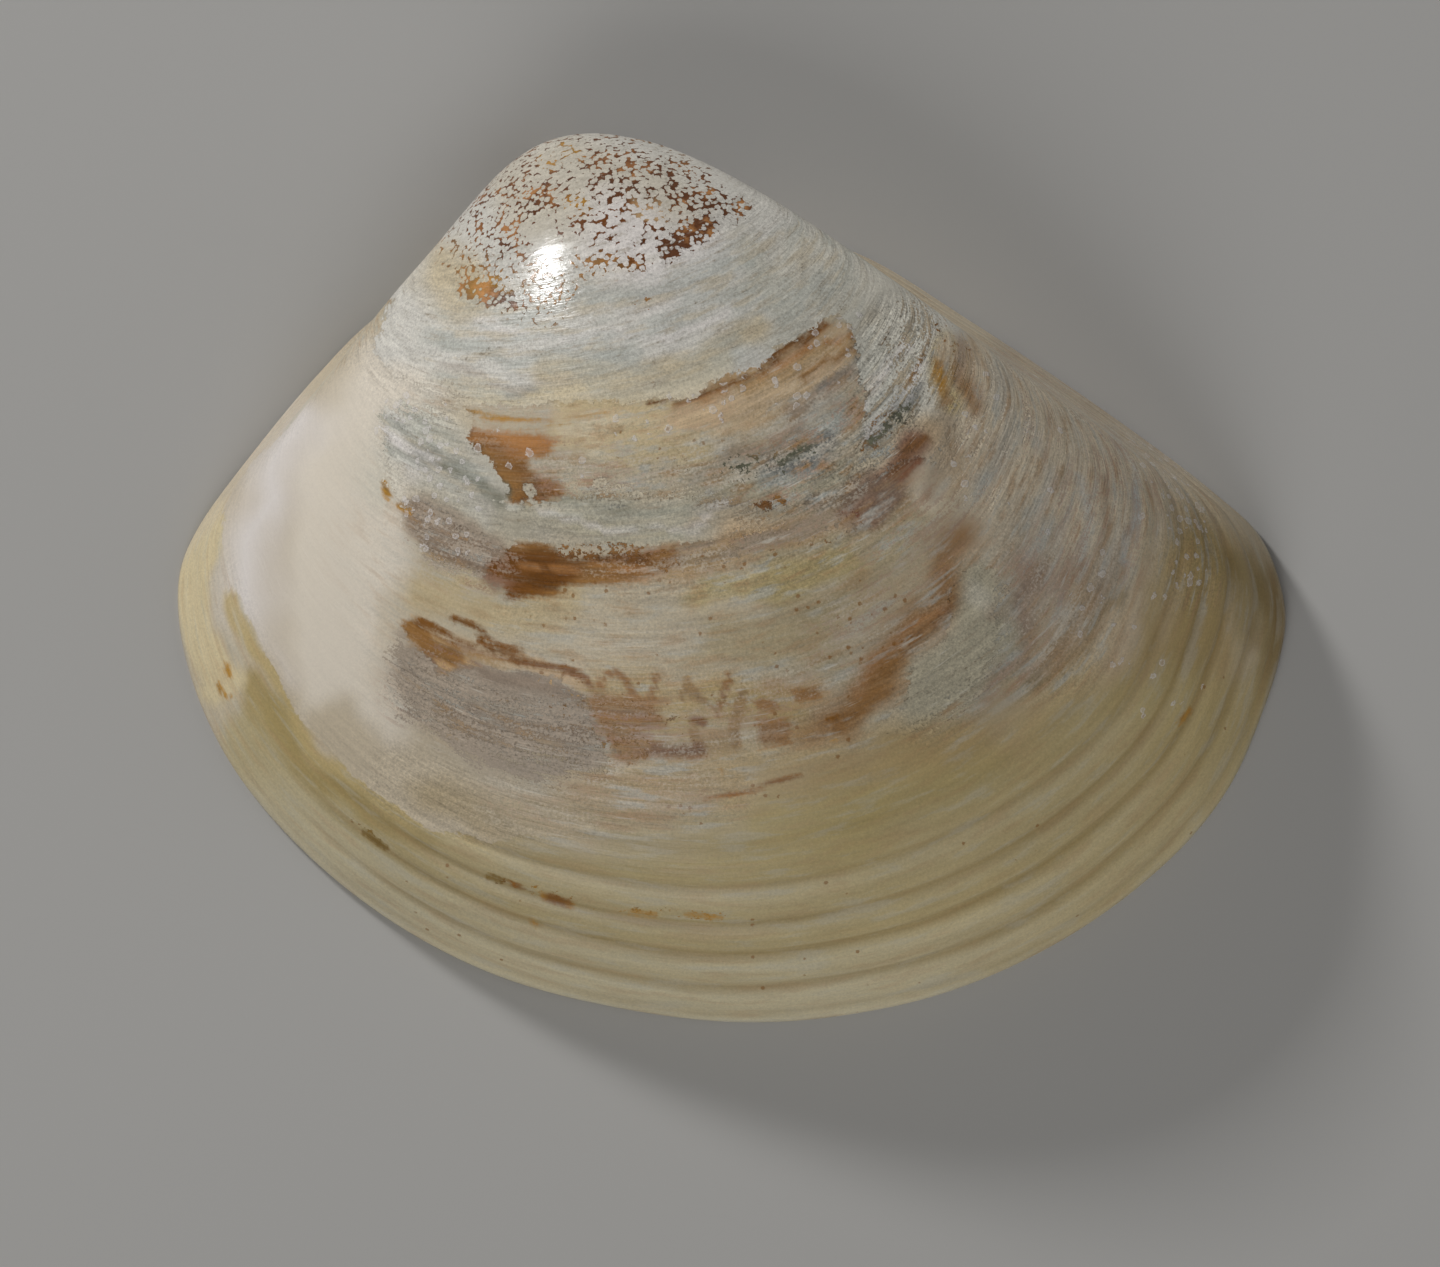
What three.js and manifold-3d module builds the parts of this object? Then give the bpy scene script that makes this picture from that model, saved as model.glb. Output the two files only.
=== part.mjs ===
// Left valve of a Japanese hard clam, one grown piece of shell.
// It lies on its rim with the hollow side down, as a shell does when it is put on a table.
// Millimetres. +X points to the siphon end, +Y to the beak, +Z up through the dome.
// The origin is below the middle of the valve, on the plane that the rim rests on.

import * as THREE from 'three';
import { mergeVertices } from 'three/addons/utils/BufferGeometryUtils.js';
import Module from 'manifold-3d';

const wasm = await Module();
wasm.setup();

// Driving dimensions
const VALVE_DEPTH = 18.8; // top of the dome above the resting plane
const LIP_RADIUS = 0.4; // the lip is rounded by this much all the way round
const LAND_WIDTH = 1.2; // flat width of the rim that touches the table
const BEAK = new THREE.Vector2(-11.0, 23.8); // point that every growth line shrinks towards
const HINGE_TILT = THREE.MathUtils.degToRad(17.8); // the hinge axis climbs towards the siphon end
const COIL_RATE = 0.8275; // a smaller value coils the beak over sooner
const COIL_POWER = 0.8; // below 1 the young shell coils faster than the old one
const LIP_REACH = 52; // from the beak to the far edge of the lip

// Outline of the lip, clockwise from above, starting at the siphon end
const LIP_POINTS = [
  [35.3, -2.0], [35.0, -4.9], [33.8, -8.7], [31.8, -13.2], [28.6, -17.3], [22.2, -22.4], [14.6, -26.1],
  [7.6, -27.8], [0.6, -28.3], [-7.1, -27.4], [-14.7, -25.4], [-21.1, -22.2], [-26.8, -17.8],
  [-31.3, -12.7], [-33.8, -8.0], [-35.1, -3.3], [-35.1, 0.4], [-34.0, 3.1], [-29.9, 8.7], [-26.2, 13.1],
  [-22.9, 16.4], [-16.6, 20.7], [-12.9, 22.1], [-7.1, 23.0], [0.0, 22.8], [8.0, 20.7], [15.2, 16.4],
  [24.0, 10.5], [30.8, 5.4], [33.8, 2.5],
];
const SIDES = 80; // points along each growth line

// Growth stages run from 0 at the beak to 1 at the lip
const YOUNGEST_STAGE = 0.06;
const GROOVES = [
  { stage: 0.959, depth: 0.3 },
  { stage: 0.922, depth: 0.34 },
  { stage: 0.893, depth: 0.32 },
  { stage: 0.86, depth: 0.24 },
];
const GROOVE_HALF_WIDTH = 0.007;
const RIB_BULGE = 0.1;
const GROWTH_CHECKS = [0.807, 0.74, 0.66, 0.57, 0.46, 0.341]; // pauses in growth, each a low step
const CHECK_DEPTH = 0.12;
const CHECK_HALF_WIDTH = 0.005;
const SMOOTH_STAGES = [0.775, 0.7, 0.615, 0.515, 0.4, 0.29, 0.245, 0.205, 0.17, 0.14, 0.115, 0.093, 0.075];

// Hollow
const HOLLOW_CENTRE = new THREE.Vector2(-0.8, 1.8);
const HOLLOW_DEPTH = 15.5;
const HOLLOW_ROUNDNESS = 2.3; // 2 would be a parabola, more is flatter on top and steeper at the lip
const HOLLOW_RINGS = [0.97, 0.92, 0.84, 0.73, 0.6, 0.45, 0.3, 0.16, 0.06];

// Hinge plate under the beak
const PLATE_WIDTH = 5.6; // widest, under the beak
const PLATE_MIDDLE_X = -7;
const PLATE_HALF_LENGTH = 10;
const LIGAMENT_WIDTH = 1.8; // the plate stays this much wider along the ligament
const LIGAMENT_MIDDLE_X = 9;
const LIGAMENT_HALF_LENGTH = 9;
const HINGE_SIDE = { from: 0.2, to: 0.7 }; // the rim widens where it faces the beak side this much
const PLATE_SINK = 1.7; // the plate lies this far inside the resting plane
const PLATE_EDGE = 1.0; // flat edge left between the plate and the lip
const POCKET_MIDDLE = new THREE.Vector2(-3.3, 18.2);
const POCKET_HALF_LENGTH = 19;
const POCKET_HALF_WIDTH = 7.4;
const POCKET_SIDES = 40;
const CUT_MARGIN = 1; // cutting solids reach this far past the face that they open

// Teeth: from the beak end to the far end, width at the foot, height above the plate
const TEETH = [
  { from: [-11.4, 19.6], to: [-13.6, 15.6], width: 1.1, height: 1.3 },
  { from: [-9.9, 19.8], to: [-9.4, 14.9], width: 1.9, height: 1.5 },
  { from: [-7.6, 20.2], to: [-1.2, 16.4], width: 1.3, height: 1.3 },
  { from: [-20.2, 16.1], to: [-15.6, 17.6], width: 1.6, height: 1.4 },
  { from: [-5.2, 21.1], to: [6.4, 19.2], width: 1.0, height: 0.9 },
];
const TOOTH_TAPER = 0.45; // width of the crest as a share of the foot
const TOOTH_END_SLOPE = 0.4; // how much shorter the crest is, as a share of the tooth's width
const TOOTH_ROOT = 1.5; // how far a tooth is set into the plate

const shellMaterial = new THREE.MeshStandardMaterial({ color: 0xcfc7b4, roughness: 0.42, metalness: 0 });

// Evenly spaced points along the outline of the lip, with the outward direction at each
function lipOutline() {
  const points = LIP_POINTS.map(([x, y]) => new THREE.Vector3(x, y, 0));
  const curve = new THREE.CatmullRomCurve3(points, true, 'centripetal');
  curve.arcLengthDivisions = 3000;
  return Array.from({ length: SIDES }, (_, i) => {
    const at = curve.getPointAt(i / SIDES);
    const along = curve.getTangentAt(i / SIDES);
    return { point: new THREE.Vector2(at.x, at.y), outward: new THREE.Vector2(-along.y, along.x) };
  });
}

const LIP = lipOutline();
const HINGE_AXIS = new THREE.Vector2(Math.cos(HINGE_TILT), Math.sin(HINGE_TILT));
const AWAY_FROM_HINGE = new THREE.Vector2(HINGE_AXIS.y, -HINGE_AXIS.x);

// Angle through which a growth line has swung up about the hinge since it was the lip
function swingOf(stage) {
  return Math.pow(-Math.log(stage), COIL_POWER) / COIL_RATE;
}

// The coil alone would stand this high, so heights are scaled to bring the dome to its real depth
const COIL_STEPS = 400;
const coilRise = Math.max(
  ...Array.from({ length: COIL_STEPS }, (_, i) => ((i + 1) / COIL_STEPS) * Math.sin(swingOf((i + 1) / COIL_STEPS))),
);
const lipFromHinge = Math.max(...LIP.map(({ point }) => point.clone().sub(BEAK).dot(AWAY_FROM_HINGE)));
const DOME_FLATTENING = (VALVE_DEPTH - LIP_RADIUS) / (coilRise * lipFromHinge);

// One growth line: the lip outline, shrunk towards the beak and swung up about the hinge axis.
// A positive sink draws the line in, given in mm as it would measure at the lip.
function growthLine(stage, sink) {
  const swing = swingOf(stage);
  const size = stage * (1 - sink / LIP_REACH);
  return LIP.map(({ point }) => {
    const reach = point.clone().sub(BEAK);
    const alongHinge = size * reach.dot(HINGE_AXIS);
    const fromHinge = size * reach.dot(AWAY_FROM_HINGE);
    const flat = BEAK.clone()
      .addScaledVector(HINGE_AXIS, alongHinge)
      .addScaledVector(AWAY_FROM_HINGE, fromHinge * Math.cos(swing));
    return new THREE.Vector3(flat.x, flat.y, LIP_RADIUS + DOME_FLATTENING * fromHinge * Math.sin(swing));
  });
}

// The lip outline drawn in by a width that may differ from point to point
function insetLip(width, z) {
  return LIP.map((side) => {
    const inward = typeof width === 'function' ? width(side) : width;
    const p = side.point.clone().addScaledVector(side.outward, -inward);
    return new THREE.Vector3(p.x, p.y, z);
  });
}

// Closed solid from a stack of rings of equal length, with a point closing each end
function ringSolid(firstPole, rings, lastPole) {
  const count = rings[0].length;
  const vertices = [firstPole, ...rings.flat(), lastPole];
  const ringVertex = (ring, i) => 1 + ring * count + (i % count);
  const lastVertex = vertices.length - 1;
  const triangles = [];
  for (let i = 0; i < count; i += 1) {
    triangles.push(0, ringVertex(0, i), ringVertex(0, i + 1));
    for (let ring = 0; ring + 1 < rings.length; ring += 1) {
      triangles.push(ringVertex(ring, i), ringVertex(ring + 1, i), ringVertex(ring + 1, i + 1));
      triangles.push(ringVertex(ring, i), ringVertex(ring + 1, i + 1), ringVertex(ring, i + 1));
    }
    triangles.push(lastVertex, ringVertex(rings.length - 1, i + 1), ringVertex(rings.length - 1, i));
  }
  const geometry = new THREE.BufferGeometry().setFromPoints(vertices);
  geometry.setIndex(triangles);
  return toSolid(geometry);
}

function toSolid(geometry) {
  const bare = geometry.clone();
  bare.deleteAttribute('normal');
  bare.deleteAttribute('uv');
  const merged = mergeVertices(bare);
  return new wasm.Manifold(
    new wasm.Mesh({
      numProp: 3,
      vertProperties: new Float32Array(merged.attributes.position.array),
      triVerts: new Uint32Array(merged.index.array),
    }),
  );
}

function middleOf(ring) {
  return ring.reduce((sum, p) => sum.add(p), new THREE.Vector3()).divideScalar(ring.length);
}

// Outside of the shell: every growth line, with ribs, grooves and the low steps of growth checks
function outerLines() {
  const lines = [{ stage: 1, sink: 0 }];
  let upper = 1;
  for (const { stage, depth } of GROOVES) {
    lines.push({ stage: (upper + stage) / 2, sink: -RIB_BULGE });
    lines.push({ stage: stage + GROOVE_HALF_WIDTH, sink: 0 });
    lines.push({ stage, sink: depth });
    lines.push({ stage: stage - GROOVE_HALF_WIDTH, sink: 0 });
    upper = stage;
  }
  for (const stage of GROWTH_CHECKS) {
    lines.push({ stage: stage + CHECK_HALF_WIDTH, sink: CHECK_DEPTH });
    lines.push({ stage: stage - CHECK_HALF_WIDTH, sink: 0 });
  }
  for (const stage of SMOOTH_STAGES) {
    lines.push({ stage, sink: 0 });
  }
  lines.push({ stage: YOUNGEST_STAGE, sink: 0 });
  return lines.sort((a, b) => b.stage - a.stage);
}

function outerSolid() {
  const foot = insetLip(LIP_RADIUS, 0);
  const rings = [foot, ...outerLines().map(({ stage, sink }) => growthLine(stage, sink))];
  return ringSolid(new THREE.Vector3(HOLLOW_CENTRE.x, HOLLOW_CENTRE.y, 0), rings, middleOf(rings.at(-1)));
}

function bump(x, middle, halfLength) {
  return Math.exp(-(((x - middle) / halfLength) ** 2));
}

// Width of shell between the lip and the mouth of the hollow, wider along the hinge
function rimWidth({ point, outward }) {
  const onHingeSide = THREE.MathUtils.smoothstep(outward.y, HINGE_SIDE.from, HINGE_SIDE.to);
  const plate = (PLATE_WIDTH - LIGAMENT_WIDTH / 2) * bump(point.x, PLATE_MIDDLE_X, PLATE_HALF_LENGTH);
  const ligament = LIGAMENT_WIDTH * bump(point.x, LIGAMENT_MIDDLE_X, LIGAMENT_HALF_LENGTH);
  return LIP_RADIUS + LAND_WIDTH + onHingeSide * (plate + ligament);
}

// The hollow as a solid to cut away: a smooth bowl whose mouth is the inner edge of the rim
function hollowSolid() {
  const mouth = insetLip(rimWidth, 0);
  const below = insetLip(rimWidth, -CUT_MARGIN);
  const bowl = HOLLOW_RINGS.map((share) =>
    mouth.map((p) => {
      const flat = HOLLOW_CENTRE.clone().lerp(new THREE.Vector2(p.x, p.y), share);
      return new THREE.Vector3(flat.x, flat.y, HOLLOW_DEPTH * (1 - share ** HOLLOW_ROUNDNESS));
    }),
  );
  const floor = new THREE.Vector3(HOLLOW_CENTRE.x, HOLLOW_CENTRE.y, -CUT_MARGIN);
  const top = new THREE.Vector3(HOLLOW_CENTRE.x, HOLLOW_CENTRE.y, HOLLOW_DEPTH);
  return ringSolid(floor, [below, mouth, ...bowl], top);
}

// Shallow pocket that sinks the hinge plate below the lip, as wide as the plate
function platePocket() {
  const { x, y } = HOLLOW_CENTRE;
  const insideLip = ringSolid(
    new THREE.Vector3(x, y, -CUT_MARGIN),
    [insetLip(LIP_RADIUS + PLATE_EDGE, -CUT_MARGIN), insetLip(LIP_RADIUS + PLATE_EDGE, PLATE_SINK)],
    new THREE.Vector3(x, y, PLATE_SINK),
  );
  const oval = new THREE.CylinderGeometry(1, 1, 2 * (PLATE_SINK + CUT_MARGIN), POCKET_SIDES);
  oval.rotateX(Math.PI / 2);
  oval.scale(POCKET_HALF_LENGTH, POCKET_HALF_WIDTH, 1);
  oval.translate(POCKET_MIDDLE.x, POCKET_MIDDLE.y, 0);
  return insideLip.intersect(toSolid(oval));
}

// A tooth is a low wedge that narrows to its crest
function toothSolid({ from, to, width, height }) {
  const start = new THREE.Vector2(...from);
  const length = start.distanceTo(new THREE.Vector2(...to));
  const tooth = new THREE.BoxGeometry(length, width, height + TOOTH_ROOT);
  const position = tooth.attributes.position;
  for (let i = 0; i < position.count; i += 1) {
    const onCrest = position.getZ(i) < 0;
    if (onCrest) {
      position.setY(i, position.getY(i) * TOOTH_TAPER);
      position.setX(i, position.getX(i) * (1 - (TOOTH_END_SLOPE * width) / length));
    }
  }
  tooth.rotateZ(Math.atan2(to[1] - from[1], to[0] - from[0]));
  const crestHeight = PLATE_SINK - height;
  tooth.translate((from[0] + to[0]) / 2, (from[1] + to[1]) / 2, crestHeight + (height + TOOTH_ROOT) / 2);
  return toSolid(tooth);
}

function valveGeometry() {
  let valve = outerSolid().subtract(hollowSolid()).subtract(platePocket());
  for (const tooth of TEETH) {
    valve = valve.add(toothSolid(tooth));
  }
  const mesh = valve.getMesh();
  const geometry = new THREE.BufferGeometry();
  geometry.setAttribute('position', new THREE.BufferAttribute(mesh.vertProperties, 3));
  geometry.setIndex(new THREE.BufferAttribute(mesh.triVerts, 1));
  geometry.computeVertexNormals();
  return geometry;
}

const leftValve = new THREE.Mesh(valveGeometry(), shellMaterial);
leftValve.name = 'left_valve';

const clamShell = new THREE.Group();
clamShell.add(leftValve);

export default clamShell;
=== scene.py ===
"""Left valve of a Japanese hard clam, lying dome up on a pale table, seen from straight above."""
import math

import bpy
import numpy as np
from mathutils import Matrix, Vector


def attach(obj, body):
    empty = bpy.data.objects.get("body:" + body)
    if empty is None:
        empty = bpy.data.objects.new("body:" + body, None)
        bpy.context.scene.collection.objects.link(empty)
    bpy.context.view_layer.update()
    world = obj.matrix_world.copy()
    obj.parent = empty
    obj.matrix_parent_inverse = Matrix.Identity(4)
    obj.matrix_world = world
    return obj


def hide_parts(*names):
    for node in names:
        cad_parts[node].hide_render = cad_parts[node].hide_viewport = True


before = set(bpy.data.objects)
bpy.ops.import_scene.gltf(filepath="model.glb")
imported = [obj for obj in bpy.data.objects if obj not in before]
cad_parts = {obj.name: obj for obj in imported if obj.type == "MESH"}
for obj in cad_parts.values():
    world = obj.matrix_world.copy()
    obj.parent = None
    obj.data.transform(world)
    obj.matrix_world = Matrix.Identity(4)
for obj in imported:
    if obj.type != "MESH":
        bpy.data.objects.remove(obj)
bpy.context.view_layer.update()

MM = 0.001

# The photograph looks straight down: this many of its pixels make a millimetre on the table,
# and this pixel lies over the origin of the model.
PIXELS_PER_MM = 15.69
PHOTO_SIZE = (1440, 1267)
ORIGIN_PIXEL = (731, 578)
CAMERA_DISTANCE = 1200

# Shape of the shell, in millimetres
VALVE_DEPTH = 18.8
LIP_RADIUS = 0.4
LAND_WIDTH = 1.2
BEAK = np.array([-11.0, 23.8])
HINGE_TILT = math.radians(17.8)
COIL_RATE = 0.8275
COIL_POWER = 0.8
LIP_REACH = 52
LIP_POINTS = [
    (35.3, -2.0), (35.0, -4.9), (33.8, -8.7), (31.8, -13.2), (28.6, -17.3), (22.2, -22.4), (14.6, -26.1),
    (7.6, -27.8), (0.6, -28.3), (-7.1, -27.4), (-14.7, -25.4), (-21.1, -22.2), (-26.8, -17.8),
    (-31.3, -12.7), (-33.8, -8.0), (-35.1, -3.3), (-35.1, 0.4), (-34.0, 3.1), (-29.9, 8.7), (-26.2, 13.1),
    (-22.9, 16.4), (-16.6, 20.7), (-12.9, 22.1), (-7.1, 23.0), (0.0, 22.8), (8.0, 20.7), (15.2, 16.4),
    (24.0, 10.5), (30.8, 5.4), (33.8, 2.5),
]
YOUNGEST_STAGE = 0.05
GROOVES = [(0.989, 0.10), (0.960, 0.20), (0.926, 0.22), (0.897, 0.19), (0.863, 0.15), (0.828, 0.07)]
GROOVE_HALF_WIDTH = 0.0048
RIB_BULGE = 0.05
GROWTH_CHECKS = [0.807, 0.74, 0.66, 0.57, 0.46, 0.341]
CHECK_DEPTH = 0.1
# Width of the darker olive line along each groove: partly its colour, partly painted shade
GROOVE_STAIN_AND_SHADE = 0.0045

# The hollow and the hinge plate
HOLLOW_CENTRE = np.array([-0.8, 1.8])
HOLLOW_DEPTH = 15.5
HOLLOW_ROUNDNESS = 2.3
PLATE_WIDTH = 5.6
PLATE_MIDDLE_X = -7
PLATE_HALF_LENGTH = 10
LIGAMENT_WIDTH = 1.8
LIGAMENT_MIDDLE_X = 9
LIGAMENT_HALF_LENGTH = 9
PLATE_SINK = 1.7
TEETH = [
    ((-11.4, 19.6), (-13.6, 15.6), 1.1, 1.3),
    ((-9.9, 19.8), (-9.4, 14.9), 1.9, 1.5),
    ((-7.6, 20.2), (-1.2, 16.4), 1.3, 1.3),
    ((-20.2, 16.1), (-15.6, 17.6), 1.6, 1.4),
    ((-5.2, 21.1), (6.4, 19.2), 1.0, 0.9),
]

# How finely the mesh follows the shape
SIDES = 420
HINGE_CROWDING = 1.1
LIP_ROWS = 42
DOME_ROWS = 100
BEAK_ROWS = 26
HOLLOW_ROWS = 28
PLATE_ROWS = 15


def smoothstep(value, low, high):
    t = np.clip((value - low) / (high - low), 0, 1)
    return t * t * (3 - 2 * t)


def lip_outline():
    """Points around the lip and the outward direction at each, closer together along the hinge."""
    knots = np.array(LIP_POINTS, float)
    p0, p1, p2, p3 = (np.roll(knots, shift, axis=0) for shift in (1, 0, -1, -2))
    gap0, gap1, gap2 = (np.sqrt(np.linalg.norm(b - a, axis=1))[:, None] for a, b in ((p0, p1), (p1, p2), (p2, p3)))
    leave = gap1 * ((p1 - p0) / gap0 - (p2 - p0) / (gap0 + gap1) + (p2 - p1) / gap1)
    arrive = gap1 * ((p2 - p1) / gap1 - (p3 - p1) / (gap1 + gap2) + (p3 - p2) / gap2)
    u = (np.arange(120) / 120)[None, :, None]
    p1, p2, leave, arrive = (a[:, None, :] for a in (p1, p2, leave, arrive))
    curve = (2 * u**3 - 3 * u**2 + 1) * p1 + (u**3 - 2 * u**2 + u) * leave
    curve = curve + (3 * u**2 - 2 * u**3) * p2 + (u**3 - u**2) * arrive
    curve = curve.reshape(-1, 2)
    step = np.linalg.norm(np.roll(curve, -1, axis=0) - curve, axis=1)
    near_hinge = np.exp(-(((curve[:, 0] + 6) / 15) ** 2)) * (curve[:, 1] > 10)
    weight = np.concatenate([[0], np.cumsum(step * (1 + HINGE_CROWDING * near_hinge))])
    closed = np.vstack([curve, curve[:1]])
    wanted = np.arange(SIDES) / SIDES * weight[-1]
    points = np.stack([np.interp(wanted, weight, closed[:, k]) for k in (0, 1)], axis=1)
    along = np.roll(points, -1, axis=0) - np.roll(points, 1, axis=0)
    along /= np.linalg.norm(along, axis=1)[:, None]
    return points, np.stack([-along[:, 1], along[:, 0]], axis=1)


LIP, LIP_OUTWARD = lip_outline()
HINGE_AXIS = np.array([math.cos(HINGE_TILT), math.sin(HINGE_TILT)])
AWAY_FROM_HINGE = np.array([HINGE_AXIS[1], -HINGE_AXIS[0]])
ALONG_HINGE = (LIP - BEAK) @ HINGE_AXIS
FROM_HINGE = (LIP - BEAK) @ AWAY_FROM_HINGE


def swing_of(stage):
    return (-np.log(stage)) ** COIL_POWER / COIL_RATE


ALL_STAGES = np.arange(1, 401) / 400
COIL_RISE = (ALL_STAGES * np.sin(swing_of(ALL_STAGES))).max()
DOME_FLATTENING = (VALVE_DEPTH - LIP_RADIUS) / (COIL_RISE * FROM_HINGE.max())


def growth_line(stage, sink=0.0):
    """The lip outline, shrunk towards the beak and swung up about the hinge axis."""
    swing = swing_of(stage)
    size = stage * (1 - sink / LIP_REACH)
    flat = BEAK + np.outer(size * ALONG_HINGE, HINGE_AXIS)
    flat = flat + np.outer(size * FROM_HINGE * math.cos(swing), AWAY_FROM_HINGE)
    height = LIP_RADIUS + DOME_FLATTENING * size * FROM_HINGE * math.sin(swing)
    return np.column_stack([flat, height])


def outer_sink(stage):
    """How far a growth line is drawn in by grooves and growth checks, or pushed out by ribs."""
    sink = 0.0
    upper = 1.0
    for middle, depth in GROOVES:
        sink += depth * math.exp(-(((stage - middle) / GROOVE_HALF_WIDTH) ** 2))
        if middle < stage < upper:
            sink -= RIB_BULGE * math.sin(math.pi * (stage - middle) / (upper - middle))
        upper = middle
    for check in GROWTH_CHECKS:
        sink += CHECK_DEPTH * math.exp(-(((stage - check) / 0.004) ** 2))
    return sink


def outer_stages():
    lip = np.linspace(1, 0.84, LIP_ROWS, endpoint=False)
    dome = np.linspace(0.84, 0.3, DOME_ROWS, endpoint=False)
    beak = np.geomspace(0.3, YOUNGEST_STAGE, BEAK_ROWS)
    return np.concatenate([lip, dome, beak])


def inset_lip(width, height):
    flat = LIP - LIP_OUTWARD * np.reshape(width, (-1, 1))
    return np.column_stack([flat, np.broadcast_to(height, SIDES)])


def bump(value, middle, half_length):
    return np.exp(-(((value - middle) / half_length) ** 2))


def rim_width():
    """Width of shell between the lip and the mouth of the hollow, wider along the hinge."""
    on_hinge_side = smoothstep(LIP_OUTWARD[:, 1], 0.2, 0.7)
    plate = (PLATE_WIDTH - LIGAMENT_WIDTH / 2) * bump(LIP[:, 0], PLATE_MIDDLE_X, PLATE_HALF_LENGTH)
    ligament = LIGAMENT_WIDTH * bump(LIP[:, 0], LIGAMENT_MIDDLE_X, LIGAMENT_HALF_LENGTH)
    return LIP_RADIUS + LAND_WIDTH + on_hinge_side * (plate + ligament)


def tooth_relief(flat):
    """Height of the hinge teeth above the plate at each point."""
    relief = np.zeros(len(flat))
    for start, end, width, height in TEETH:
        start, end = np.array(start), np.array(end)
        run = end - start
        share = np.clip((flat - start) @ run / (run @ run), 0, 1)
        gap = np.linalg.norm(flat - (start + share[:, None] * run), axis=1)
        relief = np.maximum(relief, height * np.exp(-((gap / (0.62 * width)) ** 2.6)))
    return relief


def rim_rows():
    """From the mouth of the hollow out to the lip: hinge plate, flat land and rounded lip."""
    width = rim_width()
    rows = []
    land = LIP_RADIUS + LAND_WIDTH
    for share in np.linspace(0, 1, PLATE_ROWS):
        inset = width + (land * 0.85 - width) * share
        row = inset_lip(inset, 0.0)
        room = np.clip((width - land) / 3.0, 0, 1)
        sunk = PLATE_SINK * room * smoothstep(inset, land * 0.85, land * 0.85 + 0.7)
        sunk = sunk * smoothstep(1 - share, 0.0, 0.15)
        row[:, 2] = sunk - np.minimum(tooth_relief(row[:, :2]), np.maximum(sunk - 0.15, 0))
        rows.append(row)
    rows.append(inset_lip(LIP_RADIUS, 0.0))
    for angle in (30, 60):
        turn = math.radians(angle)
        rows.append(inset_lip(LIP_RADIUS * (1 - math.sin(turn)), LIP_RADIUS * (1 - math.cos(turn))))
    return rows


def hollow_rows(mouth):
    """From the deepest point of the hollow down to its mouth."""
    rows = []
    for share in np.linspace(0, 1, HOLLOW_ROWS + 1)[1:-1]:
        share = share**0.8
        flat = HOLLOW_CENTRE + share * (mouth[:, :2] - HOLLOW_CENTRE)
        height = HOLLOW_DEPTH * (1 - share**HOLLOW_ROUNDNESS) + mouth[:, 2] * share**8
        rows.append(np.column_stack([flat, height]))
    return rows


def build_valve():
    rim = rim_rows()
    inner = hollow_rows(rim[0])
    stages = outer_stages()
    groove_share = 0.3 + 0.7 * smoothstep(LIP[:, 0], -31, -16)
    outer = [growth_line(stage, outer_sink(stage) * groove_share) for stage in stages]
    rows = inner + rim + outer
    first = np.array([[HOLLOW_CENTRE[0], HOLLOW_CENTRE[1], HOLLOW_DEPTH]])
    last = outer[-1].mean(axis=0)[None]
    vertices = np.vstack([first, *rows, last])
    row_stage = np.array([2.0] * (len(inner) + len(rim)) + list(stages))
    stage = np.concatenate([[2.0], np.repeat(row_stage, SIDES), [YOUNGEST_STAGE]])

    side = np.arange(SIDES)
    following = (side + 1) % SIDES
    faces = [(0, 1 + int(b), 1 + int(a)) for a, b in zip(side, following)]
    for row in range(len(rows) - 1):
        low, high = 1 + row * SIDES, 1 + (row + 1) * SIDES
        faces += list(zip((low + side).tolist(), (low + following).tolist(), (high + following).tolist(), (high + side).tolist()))
    top = 1 + (len(rows) - 1) * SIDES
    faces += [(top + int(a), top + int(b), len(vertices) - 1) for a, b in zip(side, following)]
    inner_faces = SIDES * (1 + len(inner) + PLATE_ROWS)
    return vertices, faces, stage, inner_faces


# Colours of the shell, as sRGB values from 0 to 255
COLOURS = {
    "white": (249, 242, 237), "shell pink": (243, 232, 214), "pale pink": (214, 199, 173),
    "cream": (213, 199, 172), "warm cream": (216, 197, 158), "yellow cream": (227, 206, 163),
    "olive cream": (201, 181, 124), "olive": (196, 179, 142), "margin yellow": (232, 215, 174), "ochre cream": (208, 184, 124),
    "margin olive": (184, 162, 106), "groove olive": (142, 112, 46), "rib cream": (224, 209, 168),
    "tan": (222, 195, 157), "deep tan": (208, 174, 128), "orange brown": (194, 136, 80),
    "brown": (164, 119, 66), "chestnut": (140, 93, 42), "dark brown": (128, 80, 28),
    "umbo brown": (112, 64, 28), "bright cream": (240, 226, 194), "lavender film": (181, 165, 146), "rib pale": (236, 228, 200), "pale tan": (202, 183, 148), "front olive": (201, 185, 142), "warm rib": (230, 209, 150), "arc tan": (174, 140, 92), "warm streak": (190, 152, 108), "cool streak": (206, 206, 196), "blue white": (214, 218, 216), "mauve": (162, 126, 104), "rust": (150, 98, 22), "ochre": (192, 142, 58),
    "reddish": (146, 98, 70), "chalk": (230, 226, 216), "grey chalk": (216, 213, 199),
    "blue grey": (190, 193, 184), "grey green": (198, 189, 163), "pale green": (226, 220, 202),
    "lavender": (170, 149, 128), "deep lavender": (152, 130, 110), "taupe": (234, 218, 190),
    "dark taupe": (188, 169, 143), "posterior tan": (198, 170, 114), "posterior olive": (158, 134, 82),
    # shaded beige: the strip under the beak, darkened to paint the shade it lies in
    "posterior chalk": (231, 226, 211), "shaded beige": (104, 96, 80), "green dark": (118, 118, 96), "film grey": (210, 201, 184), "slate": (140, 140, 136),
    "inside white": (240, 238, 232), "inside cream": (232, 226, 212), "inside purple": (150, 120, 128),
    "inside scar": (214, 208, 198),
}

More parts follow.
